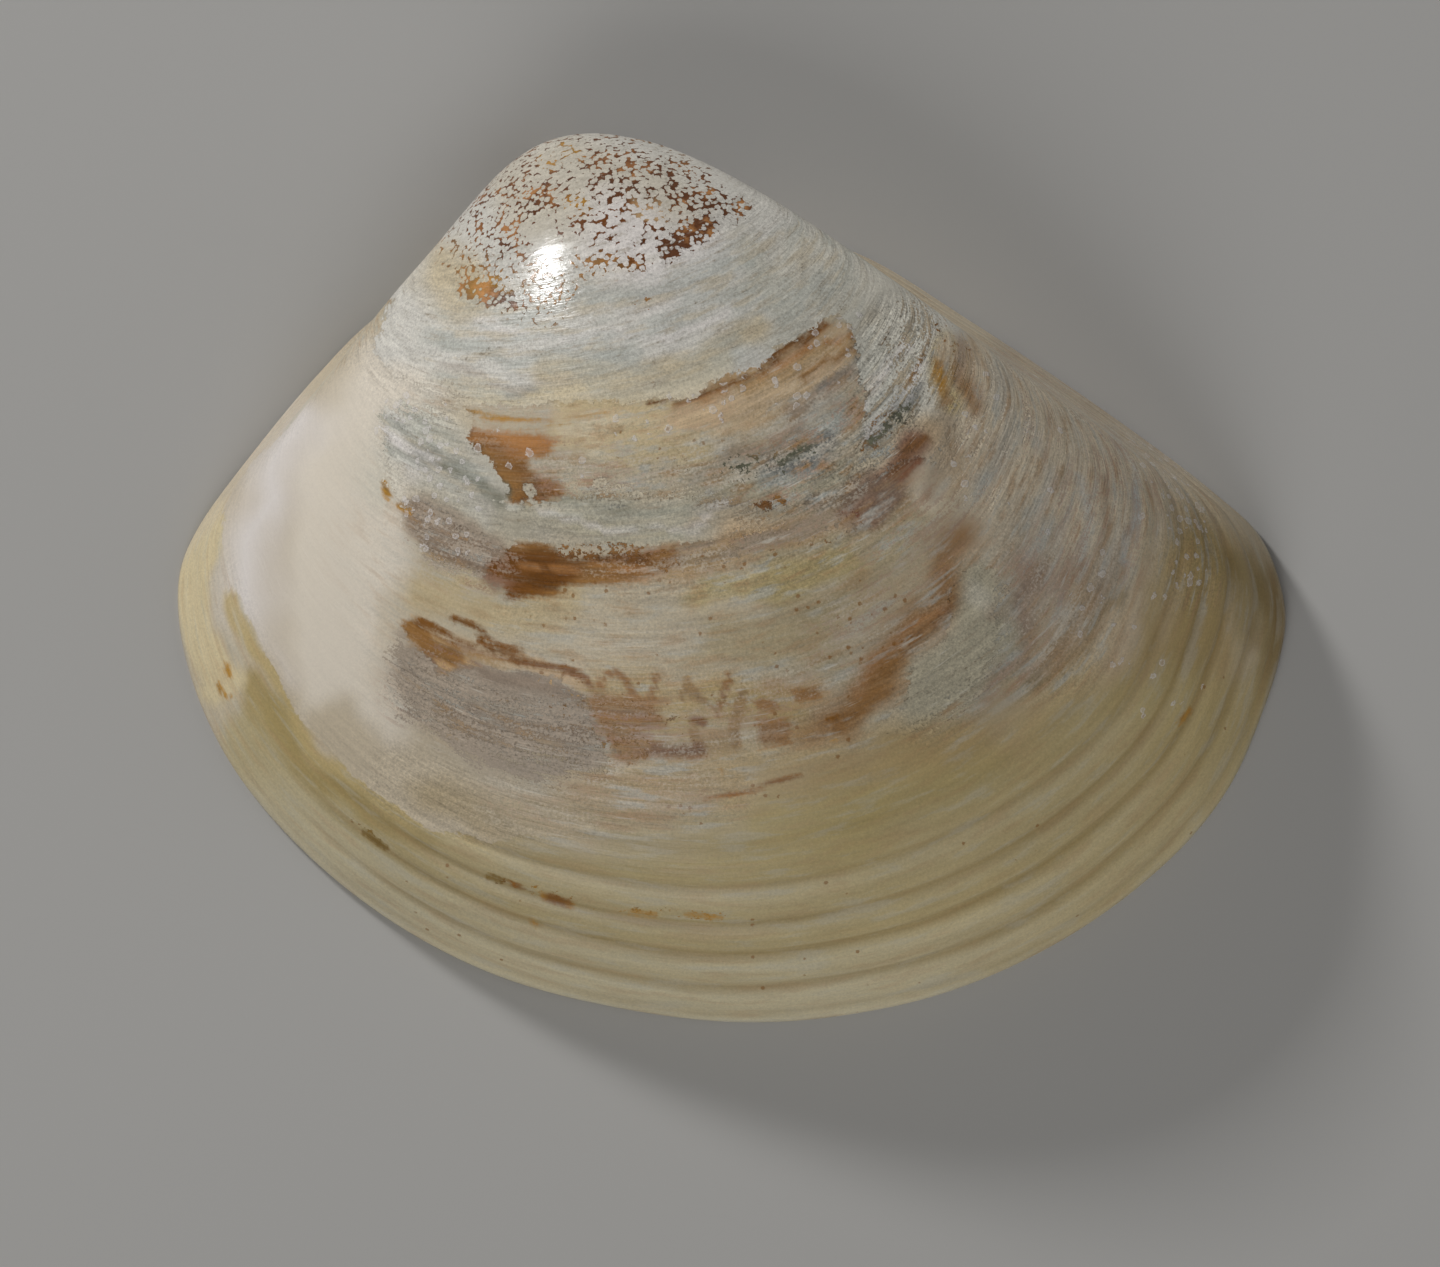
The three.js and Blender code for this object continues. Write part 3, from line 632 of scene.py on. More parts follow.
# Where smaller brown flecks show elsewhere, the same way
FRECKLED = [
    (1.4, 5.5, 5, [(761, 504), (768, 506)]),
    (1.2, 4, 4, [(776, 498), (783, 500)]),
    (1.2, 4, 4, [(796, 450), (801, 451)]),
    (0.62, 5, 6, [(486, 875), (540, 893), (600, 906), (720, 917)]),
    (0.5, 5, 6, [(352, 822), (386, 848)]),
    (0.4, 14, 16, [(604, 700), (660, 715), (700, 745)]),
    (0.6, 8, 8, [(636, 302), (646, 303)]),
    (0.9, 10, 10, [(560, 552), (640, 553)]),
    (0.5, 18, 16, [(690, 462), (760, 470), (800, 450)]),
    (0.8, 12, 14, [(870, 440), (905, 412)]),
    (0.5, 18, 16, [(606, 735), (640, 750)]),
    (0.5, 12, 14, [(940, 330), (960, 350)]),
    (0.5, 16, 14, [(660, 560), (760, 552), (850, 520)]),
    (0.35, 26, 20, [(560, 690), (640, 745)]),
    (0.4, 5, 5, [(823, 322), (790, 342), (761, 367), (720, 383), (650, 403)]),
]

# Where white flakes and blisters stand out, the same way
BLISTERED = [
    (1.7, 20, 16, [(1150, 440), (1180, 500), (1195, 570)]),
    (1.3, 34, 24, [(410, 420), (450, 460), (440, 530)]),
    (0.9, 24, 30, [(840, 340), (760, 400), (640, 420)]),
    (0.6, 14, 14, [(984, 424), (966, 461), (958, 494)]),
    (0.3, 60, 40, [(1000, 420), (1100, 560), (1140, 660)]),
    (0.4, 20, 20, [(500, 440), (560, 470)]),
]

# Where small ochre and brown dots are scattered, the same way
DOTTED = [
    (0.6, 30, 30, [(560, 610), (660, 600), (760, 600), (850, 580)]),
    (0.9, 20, 20, [(630, 440), (680, 430), (730, 440)]),
    (0.9, 16, 16, [(640, 560), (720, 555), (790, 540)]),
    (0.8, 12, 12, [(680, 815), (775, 795)]),
    (0.7, 30, 30, [(800, 680), (860, 650), (900, 600)]),
    (0.5, 20, 20, [(620, 690), (720, 690)]),
    (0.3, 40, 40, [(560, 700), (700, 700), (820, 720)]),
    (0.07, 60, 60, [(420, 900), (620, 960), (860, 950), (1080, 860), (1200, 700)]),
]

# Where the chalk turns from warm to bluish from one growth line to the next, the same way
TINTED = [
    (0.9, 60, 40, [(480, 350), (600, 340), (720, 310), (800, 270)]),
    (0.8, 30, 30, [(400, 430), (460, 480)]),
    (0.5, 24, 20, [(560, 515), (700, 520)]),
    (0.6, 30, 30, [(860, 330), (880, 400)]),
]

# Where a thin grey film of fine specks and streaks lies over the colours below
FILMED = [
    (0.9, 34, 30, [(560, 470), (640, 480), (740, 470), (820, 430), (880, 370)]),
    (0.8, 30, 30, [(680, 500), (780, 500), (860, 470), (920, 420)]),
    (0.7, 40, 40, [(840, 640), (900, 570), (960, 480), (990, 400)]),
    (0.8, 60, 50, [(1000, 640), (1060, 560), (1090, 460), (1040, 380)]),
    (0.7, 20, 20, [(600, 560), (700, 560), (800, 530), (860, 490)]),
    (0.6, 26, 24, [(600, 740), (700, 735), (800, 690), (850, 660)]),
    (1.0, 18, 20, [(622, 716), (652, 740)]),
    (0.6, 30, 30, [(1120, 560), (1150, 500), (1130, 430)]),
    (0.5, 26, 24, [(500, 800), (600, 800), (690, 790)]),
    (0.35, 90, 60, [(500, 380), (640, 400), (800, 330)]),
    (0.9, 40, 24, [(440, 540), (480, 560)]),
    (1.0, 50, 30, [(430, 690), (500, 720), (580, 740)]),
    (0.8, 30, 30, [(980, 590), (990, 640), (940, 700)]),
]

# How strongly fine streaks and grains along the growth lines show, the same way
SMOOTHEST = 0.45
WEATHERED = [
    (1.0, 90, 60, [(420, 330), (540, 330), (700, 300), (800, 250)]),
    (0.7, 60, 40, [(520, 170), (640, 180)]),
    (1.1, 50, 40, [(420, 440), (470, 540)]),
    (1.3, 40, 40, [(420, 690), (520, 730), (600, 760)]),
    (1.9, 46, 40, [(900, 340), (880, 430), (800, 480)]),
    (1.2, 60, 50, [(970, 600), (930, 690)]),
    (1.1, 90, 60, [(1000, 420), (1080, 500), (1040, 620)]),
    (1.3, 50, 40, [(560, 500), (700, 500), (800, 480)]),
    (1.2, 50, 50, [(620, 560), (760, 560), (880, 520)]),
    (0.8, 90, 60, [(560, 640), (760, 640), (880, 590)]),
    (1.1, 40, 40, [(400, 780), (480, 810), (600, 800), (720, 790)]),
    (1.0, 60, 50, [(600, 720), (720, 720), (840, 700)]),
    (1.0, 50, 40, [(620, 440), (740, 430), (820, 380)]),
    (1.0, 40, 40, [(1120, 420), (1180, 500), (1190, 580)]),
]

# Where the surface is smooth enough to shine
POLISHED = [
    (1.0, 70, 60, [(520, 240), (590, 260)]),
    (0.5, 50, 50, [(300, 560), (420, 600), (600, 630)]),
]

# Marks inside the valve, in millimetres: middle, half length, half width and turn of each muscle scar
MUSCLE_SCARS = [((-24.5, 4.2), 4.6, 2.6, 1.15), ((23.5, 2.6), 4.8, 3.2, -0.75)]
PALLIAL_LINE = [(-24.5, 0.5), (-23.0, -6.0), (-17.5, -13.5), (-9.0, -18.5), (0.5, -20.5), (10.0, -18.6),
                (17.5, -14.0), (21.0, -9.5), (18.0, -5.5), (19.0, -1.5), (22.0, 0.0)]


def camera_middle():
    """The point of the table under the middle of the photograph, in millimetres."""
    middle = (np.array(PHOTO_SIZE) / 2 - ORIGIN_PIXEL) / PIXELS_PER_MM
    return np.array([middle[0], -middle[1]])


def photo_place(vertices):
    """Where each vertex is seen in the photograph, in its pixels."""
    middle = camera_middle()
    nearer = CAMERA_DISTANCE / (CAMERA_DISTANCE - vertices[:, 2])
    flat = middle + (vertices[:, :2] - middle) * nearer[:, None]
    return ORIGIN_PIXEL + flat * (PIXELS_PER_MM, -PIXELS_PER_MM)


def linear(name):
    value = np.array(COLOURS[name]) / 255
    return np.where(value <= 0.04045, value / 12.92, ((value + 0.055) / 1.055) ** 2.4)


def distance_to_line(places, line):
    line = np.array(line, float)
    nearest = np.full(len(places), 1e6)
    for start, end in zip(line, line[1:]):
        run = end - start
        share = np.clip((places - start) @ run / (run @ run), 0, 1)
        nearest = np.minimum(nearest, np.linalg.norm(places - start - share[:, None] * run, axis=1))
    return nearest


def inside_area(places, outline):
    corners = np.array(outline, float)
    inside = np.zeros(len(places), bool)
    for (x0, y0), (x1, y1) in zip(corners, np.roll(corners, -1, axis=0)):
        if y0 != y1:
            crosses = (places[:, 1] < y0) != (places[:, 1] < y1)
            at_x = x0 + (places[:, 1] - y0) * (x1 - x0) / (y1 - y0)
            inside ^= crosses & (places[:, 0] < at_x)
    return inside


def area_field(places, outline):
    """Distance in from an area's edge, negative outside it."""
    edge = distance_to_line(places, outline + outline[:1])
    return np.where(inside_area(places, outline), edge, -edge)


def brush(layer, places, colour, half_width, softness, strength, line):
    reach = distance_to_line(places, line)
    share = strength * (1 - smoothstep(reach, half_width - softness / 2, half_width + softness / 2))
    layer += share[:, None] * (linear(colour) - layer)


def wandering(places, size):
    """Places moved about by smooth seeded waves, so that a stroke's edge isn't ruled."""
    waves = np.random.default_rng(7)
    moved = places.copy()
    for axis in (0, 1):
        for length in (150, 90, 60, 40, 28, 20):
            for turn in waves.uniform(0, 2 * math.pi, 3):
                direction = np.array([math.cos(turn), math.sin(turn)])
                phase = waves.uniform(0, 2 * math.pi)
                moved[:, axis] += size * length / 250 * np.sin(places @ direction * 2 * math.pi / length + phase)
    return moved


def painted(places, base, strokes):
    places = wandering(places, STROKE_WANDER)
    layer = np.tile(linear(base), (len(places), 1)) if isinstance(base, str) else base.copy()
    for stroke in strokes:
        brush(layer, places, *stroke)
    return layer


def paint_ground(places, stage):
    """The shell's colour: soft strokes, then pale ribs, and olive grooves with painted shade along the margin."""
    ground = painted(places, "cream", GROUND)
    margin = smoothstep(stage, 0.835, 0.875)[:, None]
    middle_share = smoothstep(places[:, 0], 330, 560) * (1 - 0.6 * smoothstep(places[:, 0], 760, 1150))
    back_share = smoothstep(places[:, 0], 230, 460)[:, None]
    rib = 0.8 * margin * (smoothstep(places[:, 1], 600, 800) * middle_share)[:, None]
    ground += rib * (linear("rib cream") - ground)
    outer_ribs = margin * smoothstep(stage, 0.925, 0.945)[:, None] * smoothstep(places[:, 1], 700, 860)[:, None]
    outer_ribs *= 0.55 * (1 - 0.6 * smoothstep(places[:, 0], 850, 1150))[:, None]
    ground += outer_ribs * (linear("rib pale") - ground)
    wander = 0.0018 * np.sin(places[:, 0] / 61) + 0.0014 * np.sin(places[:, 1] / 43 + 1)
    # Each groove and a broader band on its beak side are darkened towards olive, more for deeper grooves: partly the
    # olive seen there, partly painted shade in the grooves
    for middle, depth in GROOVES:
        line = np.exp(-(((stage + wander - middle) / GROOVE_STAIN_AND_SHADE) ** 2))[:, None]
        ground += 2.9 * depth * line * back_share * (linear("groove olive") - ground)
        shoulder_olive_and_shade = np.exp(-(((stage + wander - middle + 0.011) / 0.011) ** 2))[:, None]
        ground += 2.3 * depth * shoulder_olive_and_shade * back_share * (linear("margin olive") - ground)
    return ground


def paint_marks(places):
    """Colour of the brown marks, and how far each place is in from a mark's edge."""
    layer = painted(places, "brown", MARKS)
    field = np.full(len(places), -40.0)
    for outline in MARK_AREAS:
        field = np.maximum(field, area_field(places, outline))
    for colour, half_width, line in LINES:
        brush(layer, places, colour, half_width + 5, 4, 1.0, line)
        field = np.maximum(field, 1.8 * (half_width + 1 - distance_to_line(places, line)))
    return layer, np.clip(field, -40, 40)


def paint_chalk(places, ground):
    layer = painted(places, ground, CHALK)
    field = np.full(len(places), -40.0)
    for outline in CHALK_AREAS:
        field = np.maximum(field, area_field(places, outline))
    return layer, np.clip(field, -40, 40)


def paint_skin(places):
    """The pale skin's colour and field, and the share of it that shows, which fades out inland."""
    layer = painted(places, "pale pink", SKIN)
    inland = smoothstep(distance_to_line(places, SKIN_EDGE), 40, 130)
    return layer, np.clip(area_field(places, SKIN_AREA), -40, 40), 1 - inland


def soft_field(places, strokes):
    """A strength from 0 to 1 built up from soft strokes: strength, half width, softness, line."""
    field = np.zeros(len(places))
    for strength, half_width, softness, line in strokes:
        reach = distance_to_line(places, line)
        share = 1 - smoothstep(reach, half_width - softness / 2, half_width + softness / 2)
        field = np.maximum(field, strength * share)
    return field


def ring_place(stage):
    """A seamless place along and across the growth lines, for noise that follows them."""
    around = 2 * math.pi * np.concatenate([[0], np.tile(np.arange(SIDES), (len(stage) - 2) // SIDES), [0]]) / SIDES
    return np.column_stack([np.cos(around), np.sin(around), (1 - stage) * LIP_REACH])


def hinge_wall(mesh, stage):
    """How far each vertex is on the steep wall along the hinge, which the photograph doesn't show."""
    normals = np.empty(3 * len(mesh.vertices), np.float32)
    mesh.vertex_normals.foreach_get("vector", normals)
    steep = 1 - smoothstep(normals[2::3], 0.0, 0.25)
    behind = np.tile(smoothstep(LIP_OUTWARD[:, 1], 0.2, 0.5), (len(stage) - 2) // SIDES)
    return steep * np.concatenate([[0], behind, [0]])


def add_attribute(mesh, name, kind, values):
    attribute = mesh.attributes.new(name, kind, "POINT")
    key = {"FLOAT": "value", "FLOAT_VECTOR": "vector", "FLOAT_COLOR": "color"}[kind]
    if kind == "FLOAT_COLOR":
        values = np.column_stack([values, np.ones(len(values))])
    attribute.data.foreach_set(key, np.ascontiguousarray(values, dtype=np.float32).ravel())


class Nodes:
    """Short names for building one material."""

    def __init__(self, name):
        self.material = bpy.data.materials.new(name)
        self.material.use_nodes = True
        self.tree = self.material.node_tree
        self.surface = self.tree.nodes["Principled BSDF"]

    def put(self, value, socket):
        if isinstance(value, bpy.types.NodeSocket):
            self.tree.links.new(value, socket)
        else:
            socket.default_value = value

    def attribute(self, name, output="Fac"):
        node = self.tree.nodes.new("ShaderNodeAttribute")
        node.attribute_name = name
        return node.outputs[output]

    def place(self):
        """Place on the shell in millimetres."""
        coordinates = self.tree.nodes.new("ShaderNodeTexCoord")
        return self.stretch(coordinates.outputs["Object"], (1000, 1000, 1000))

    def stretch(self, vector, factors):
        node = self.tree.nodes.new("ShaderNodeVectorMath")
        node.operation = "MULTIPLY"
        self.put(vector, node.inputs[0])
        node.inputs[1].default_value = factors
        return node.outputs[0]

    def noise(self, vector, scale, detail=4.0, roughness=0.6):
        node = self.tree.nodes.new("ShaderNodeTexNoise")
        self.put(vector, node.inputs["Vector"])
        node.inputs["Scale"].default_value = scale
        node.inputs["Detail"].default_value = detail
        node.inputs["Roughness"].default_value = roughness
        return node.outputs["Fac"]

    def voronoi(self, vector, scale, feature):
        node = self.tree.nodes.new("ShaderNodeTexVoronoi")
        node.feature = feature
        self.put(vector, node.inputs["Vector"])
        node.inputs["Scale"].default_value = scale
        return node

    def first_of(self, colour):
        node = self.tree.nodes.new("ShaderNodeSeparateColor")
        self.put(colour, node.inputs[0])
        return node.outputs[0]

    def lower_than(self, a, b):
        return self.math("LESS_THAN", a, b)

    def math(self, operation, a, b=0.0, c=0.0):
        node = self.tree.nodes.new("ShaderNodeMath")
        node.operation = operation
        for value, socket in zip((a, b, c), node.inputs):
            self.put(value, socket)
        return node.outputs[0]

    def total(self, *terms):
        value = terms[0]
        for term in terms[1:]:
            value = self.math("ADD", value, term)
        return value

    def around_zero(self, noise, size):
        """The noise moved to vary around zero, scaled to the size."""
        return self.math("MULTIPLY", self.math("SUBTRACT", noise, 0.5), size)

    def step(self, value, low, high, from_value=0.0, to_value=1.0):
        node = self.tree.nodes.new("ShaderNodeMapRange")
        node.interpolation_type = "SMOOTHSTEP"
        for name, number in (("From Min", low), ("From Max", high), ("To Min", from_value), ("To Max", to_value)):
            node.inputs[name].default_value = number
        self.put(value, node.inputs["Value"])
        return node.outputs["Result"]

    def mix(self, share, a, b, blend="MIX"):
        node = self.tree.nodes.new("ShaderNodeMix")
        node.data_type = "RGBA"
        node.blend_type = blend
        self.put(share, node.inputs[0])
        self.put(a, node.inputs[6])
        self.put(b, node.inputs[7])
        return node.outputs[2]

    def shade(self, colour, value):
        """The colour made lighter or darker by a value around 1."""
        return self.stretch_by(colour, value)

    def stretch_by(self, vector, value):
        node = self.tree.nodes.new("ShaderNodeVectorMath")
        node.operation = "SCALE"
        self.put(vector, node.inputs[0])
        self.put(value, node.inputs["Scale"])
        return node.outputs[0]

    def bump(self, height, depth):
        node = self.tree.nodes.new("ShaderNodeBump")
        node.inputs["Distance"].default_value = depth
        node.inputs["Strength"].default_value = 1.0
        self.put(height, node.inputs["Height"])
        self.put(node.outputs["Normal"], self.surface.inputs["Normal"])


def rgba(name):
    return (*linear(name), 1)


def outside_material():
    n = Nodes("shell_outside")
    ring = n.attribute("ring", "Vector")
    place = n.place()
    bands = n.noise(n.stretch(ring, (2.6, 2.6, 0.9)), 1.0, 5.0)
    streaks = n.noise(n.stretch(ring, (7, 7, 2.6)), 1.0, 4.0)
    striae = n.noise(n.stretch(ring, (5.5, 5.5, 5)), 1.0, 3.0)
    tone = n.noise(n.stretch(ring, (6, 6, 1.7)), 1.3, 3.0)
    patches = n.noise(place, 0.55, 4.0)
    grain = n.noise(place, 2.6, 3.0)
    specks = n.noise(place, 5.5, 2.0)
    dust = n.noise(place, 9.0, 2.0)

    weathered = n.attribute("weathered")
    fine = n.total(n.around_zero(striae, 0.5), n.around_zero(streaks, 0.5), n.around_zero(specks, 0.8), n.around_zero(dust, 0.5),
                   n.around_zero(grain, 0.3), n.around_zero(bands, 0.3))
    light = n.math("MULTIPLY_ADD", fine, weathered, 1.0)
    warm = n.math("MULTIPLY", n.step(tone, 0.5, 0.68, 0.0, 0.55), weathered)
    cool = n.math("MULTIPLY", n.step(tone, 0.48, 0.32, 0.0, 0.55), weathered)
    ground = n.mix(warm, n.attribute("ground", "Color"), rgba("warm streak"))
    ground = n.shade(n.mix(cool, ground, rgba("cool streak")), light)

    mark_streaks = n.noise(n.stretch(ring, (3, 3, 3.4)), 1.0, 4.0)
    soft_edge = n.total(n.attribute("mark_field"), n.around_zero(grain, 10), n.around_zero(mark_streaks, 14),
                        n.around_zero(dust, 5))
    mark = n.math("MULTIPLY", n.step(soft_edge, -4.0, 5.0), n.step(striae, 0.25, 0.5, 0.86, 1.0))
    mark_light = n.total(light, n.around_zero(mark_streaks, 1.3), n.around_zero(bands, 0.4))
    mark_colour = n.shade(n.attribute("mark_colour", "Color"), mark_light)
    skin_edge = n.total(n.attribute("skin_field"), n.around_zero(patches, 16), n.around_zero(grain, 8), n.around_zero(streaks, 10))
    skin = n.math("MULTIPLY", n.step(skin_edge, -1.0, 1.5), n.attribute("skin_share"))
    colour = n.mix(skin, ground, n.shade(n.attribute("skin_colour", "Color"), light))
    colour = n.mix(mark, colour, mark_colour)

    dots = n.voronoi(place, 1.5, "F1")
    near = n.total(dots.outputs["Distance"], n.around_zero(dust, 0.25), n.around_zero(grain, 0.3))
    chosen = n.math("MULTIPLY", n.lower_than(n.first_of(dots.outputs["Color"]), n.attribute("dotted")), n.step(near, 0.25, 0.13))
    colour = n.mix(n.math("MULTIPLY", chosen, 0.7), colour, rgba("rust"))

    chalk_tint = n.attribute("chalk_colour", "Color")
    chalk_light = n.total(light, n.around_zero(dust, 0.15))
    varied = n.attribute("tinted")
    cooler = n.math("MULTIPLY", n.step(bands, 0.42, 0.62, 0.0, 0.7), varied)
    warmer = n.math("MULTIPLY", n.step(n.noise(n.stretch(ring, (3.1, 3.1, 1.3)), 1.3, 4.0), 0.48, 0.66, 0.0, 0.7), varied)
    tinted = n.mix(warmer, n.mix(cooler, chalk_tint, rgba("blue grey")), rgba("cream"))
    chalk_colour = n.shade(tinted, chalk_light)

    film_noise = n.total(n.around_zero(specks, 1.0), n.around_zero(striae, 1.0), n.around_zero(streaks, 0.7), n.around_zero(patches, 0.6))
    film = n.math("MULTIPLY", n.step(film_noise, -0.06, 0.16), n.math("MULTIPLY", n.attribute("filmed"), 0.75))
    colour = n.mix(film, colour, n.shade(n.mix(n.step(bands, 0.4, 0.6), rgba("film grey"), rgba("mauve")), chalk_light))

    crisp_edge = n.total(n.attribute("chalk_field"), n.around_zero(patches, 22), n.around_zero(grain, 16), n.around_zero(streaks, 18))
    chalk = n.step(crisp_edge, -0.8, 1.2)
    # Just outside the chalk's edge the colour is darkened, more over brown marks: partly the dark rim seen there,
    # partly painted shadow of the chalk's step
    rim_and_shade_below_chalk = n.math("MULTIPLY", n.step(crisp_edge, -6.0, -0.5), n.math("SUBTRACT", 1.0, chalk))
    rim_and_shade_depth = n.math("MULTIPLY_ADD", mark, 0.22, 0.04)
    colour = n.shade(colour, n.math("SUBTRACT", 1.0, n.math("MULTIPLY", rim_and_shade_below_chalk, rim_and_shade_depth)))
    left_over = n.math("ADD", film_noise, n.math("MULTIPLY_ADD", n.attribute("thinned"), -0.8, 0.4))
    chalk = n.math("MULTIPLY", chalk, n.step(left_over, -0.06, 0.06))
    cover = n.math("MULTIPLY", chalk, n.step(film_noise, -0.35, -0.05, 0.75, 0.97))
    colour = n.mix(cover, colour, chalk_colour)

    islands = n.voronoi(place, 2.9, "F1")
    gap = n.total(islands.outputs["Distance"], n.around_zero(dust, 0.35), n.around_zero(grain, 0.9), n.around_zero(patches, 0.7))
    worn = n.attribute("worn")
    fleck = n.math("MULTIPLY", n.step(n.math("ADD", gap, n.math("MULTIPLY", worn, 0.5)), 0.82, 0.9), n.step(worn, 0.0, 0.15))
    freckled = n.attribute("freckled")
    freckle_noise = n.total(n.around_zero(grain, 1.0), n.around_zero(dust, 0.35), n.around_zero(streaks, 0.5))
    freckle = n.step(n.math("ADD", freckle_noise, n.math("MULTIPLY", freckled, 0.3)), 0.26, 0.31)
    fleck = n.math("MAXIMUM", fleck, n.math("MULTIPLY", freckle, n.step(freckled, 0.0, 0.3)))
    fleck_light = n.total(1.0, n.around_zero(patches, 1.8), n.around_zero(dust, 0.8))
    orange = n.math("MULTIPLY", n.step(patches, 0.5, 0.62), n.step(worn, 0.2, 0.5, 0.0, 0.75))
    fleck_colour = n.shade(n.mix(orange, n.attribute("mark_colour", "Color"), rgba("orange brown")), fleck_light)
    colour = n.mix(fleck, colour, fleck_colour)

    scratch = n.math("MULTIPLY", n.step(striae, 0.6, 0.68), n.step(n.noise(n.stretch(ring, (14, 14, 4)), 1.0, 3.0), 0.5, 0.62))
    scratch = n.math("MULTIPLY", scratch, n.math("SUBTRACT", weathered, 0.5))
    colour = n.mix(n.math("MULTIPLY", scratch, 0.85), colour, rgba("posterior chalk"))
    dark_scratch = n.math("MULTIPLY", n.step(striae, 0.40, 0.32), n.math("SUBTRACT", weathered, 0.5))
    colour = n.mix(n.math("MULTIPLY", dark_scratch, 0.5), colour, rgba("dark taupe"))

    blisters = n.voronoi(place, 1.5, "F1")
    raised = n.total(blisters.outputs["Distance"], n.around_zero(grain, 0.7), n.around_zero(dust, 0.3), n.around_zero(patches, 0.8))
    picked = n.lower_than(n.first_of(blisters.outputs["Color"]), n.attribute("blistered"))
    blister = n.math("MULTIPLY", n.step(raised, 0.36, 0.28), picked)
    blister_rim = n.math("MULTIPLY", n.math("SUBTRACT", blister, n.step(raised, 0.28, 0.18)), picked)
    colour = n.mix(n.math("MULTIPLY", blister, 0.25), colour, rgba("white"))
    colour = n.mix(n.math("MULTIPLY", n.math("MAXIMUM", blister_rim, 0.0), 0.6), colour, rgba("white"))

    n.put(colour, n.surface.inputs["Base Color"])
    rough = n.mix(chalk, n.step(bands, 0.3, 0.7, 0.34, 0.42), n.step(grain, 0.3, 0.7, 0.44, 0.58))
    n.put(n.math("MULTIPLY", rough, n.attribute("sheen_loss")), n.surface.inputs["Roughness"])
    height = n.total(n.math("MULTIPLY", chalk, 0.35), n.math("MULTIPLY", striae, 0.8), n.math("MULTIPLY", grain, 0.3),
                     n.math("MULTIPLY", fleck, -0.4), n.math("MULTIPLY", streaks, 0.6),
                     n.math("MULTIPLY", skin, 0.3), n.math("MULTIPLY", blister, 0.3))
    smoothed = n.math("SUBTRACT", n.math("MULTIPLY", weathered, 0.9), n.math("MULTIPLY", n.attribute("polished"), 0.5))
    n.bump(n.math("MULTIPLY", height, n.math("MAXIMUM", smoothed, 0.15)), 0.00009)
    return n.material


def inside_material():
    n = Nodes("shell_inside")
    place = n.place()
    cloud = n.noise(place, 0.12, 4.0)
    growth = n.noise(place, 1.1, 4.0)
    scar = n.attribute("scar")
    colour = n.mix(n.step(cloud, 0.35, 0.7), rgba("inside white"), rgba("inside cream"))
    colour = n.mix(n.math("MULTIPLY", n.attribute("tinge"), n.step(cloud, 0.3, 0.65)), colour, rgba("inside purple"))
    colour = n.mix(n.math("MULTIPLY", scar, 0.35), colour, rgba("inside scar"))
    n.put(colour, n.surface.inputs["Base Color"])
    n.put(n.mix(scar, n.step(growth, 0.3, 0.7, 0.26, 0.36), (0.2, 0.2, 0.2, 1)), n.surface.inputs["Roughness"])
    n.bump(n.total(n.math("MULTIPLY", growth, 0.3), n.math("MULTIPLY", scar, -1.0)), 0.00012)
    return n.material


def inside_marks(vertices):
    """The two muscle scars and the pallial line between them, and the purple tinge at the siphon end."""
    flat = vertices[:, :2]
    scar = np.zeros(len(flat))
    for middle, along, across, turn in MUSCLE_SCARS:
        run = np.array([math.cos(turn), math.sin(turn)])
        side = np.array([-run[1], run[0]])
        gap = np.hypot((flat - middle) @ run / along, (flat - middle) @ side / across)
        scar = np.maximum(scar, 1 - smoothstep(gap, 0.9, 1.06))
    line = 1 - smoothstep(distance_to_line(flat, PALLIAL_LINE), 0.25, 0.8)
    tinge = smoothstep(flat[:, 0], 8, 27) * smoothstep(flat[:, 1], -14, 2)
    return np.maximum(scar, 0.7 * line), tinge


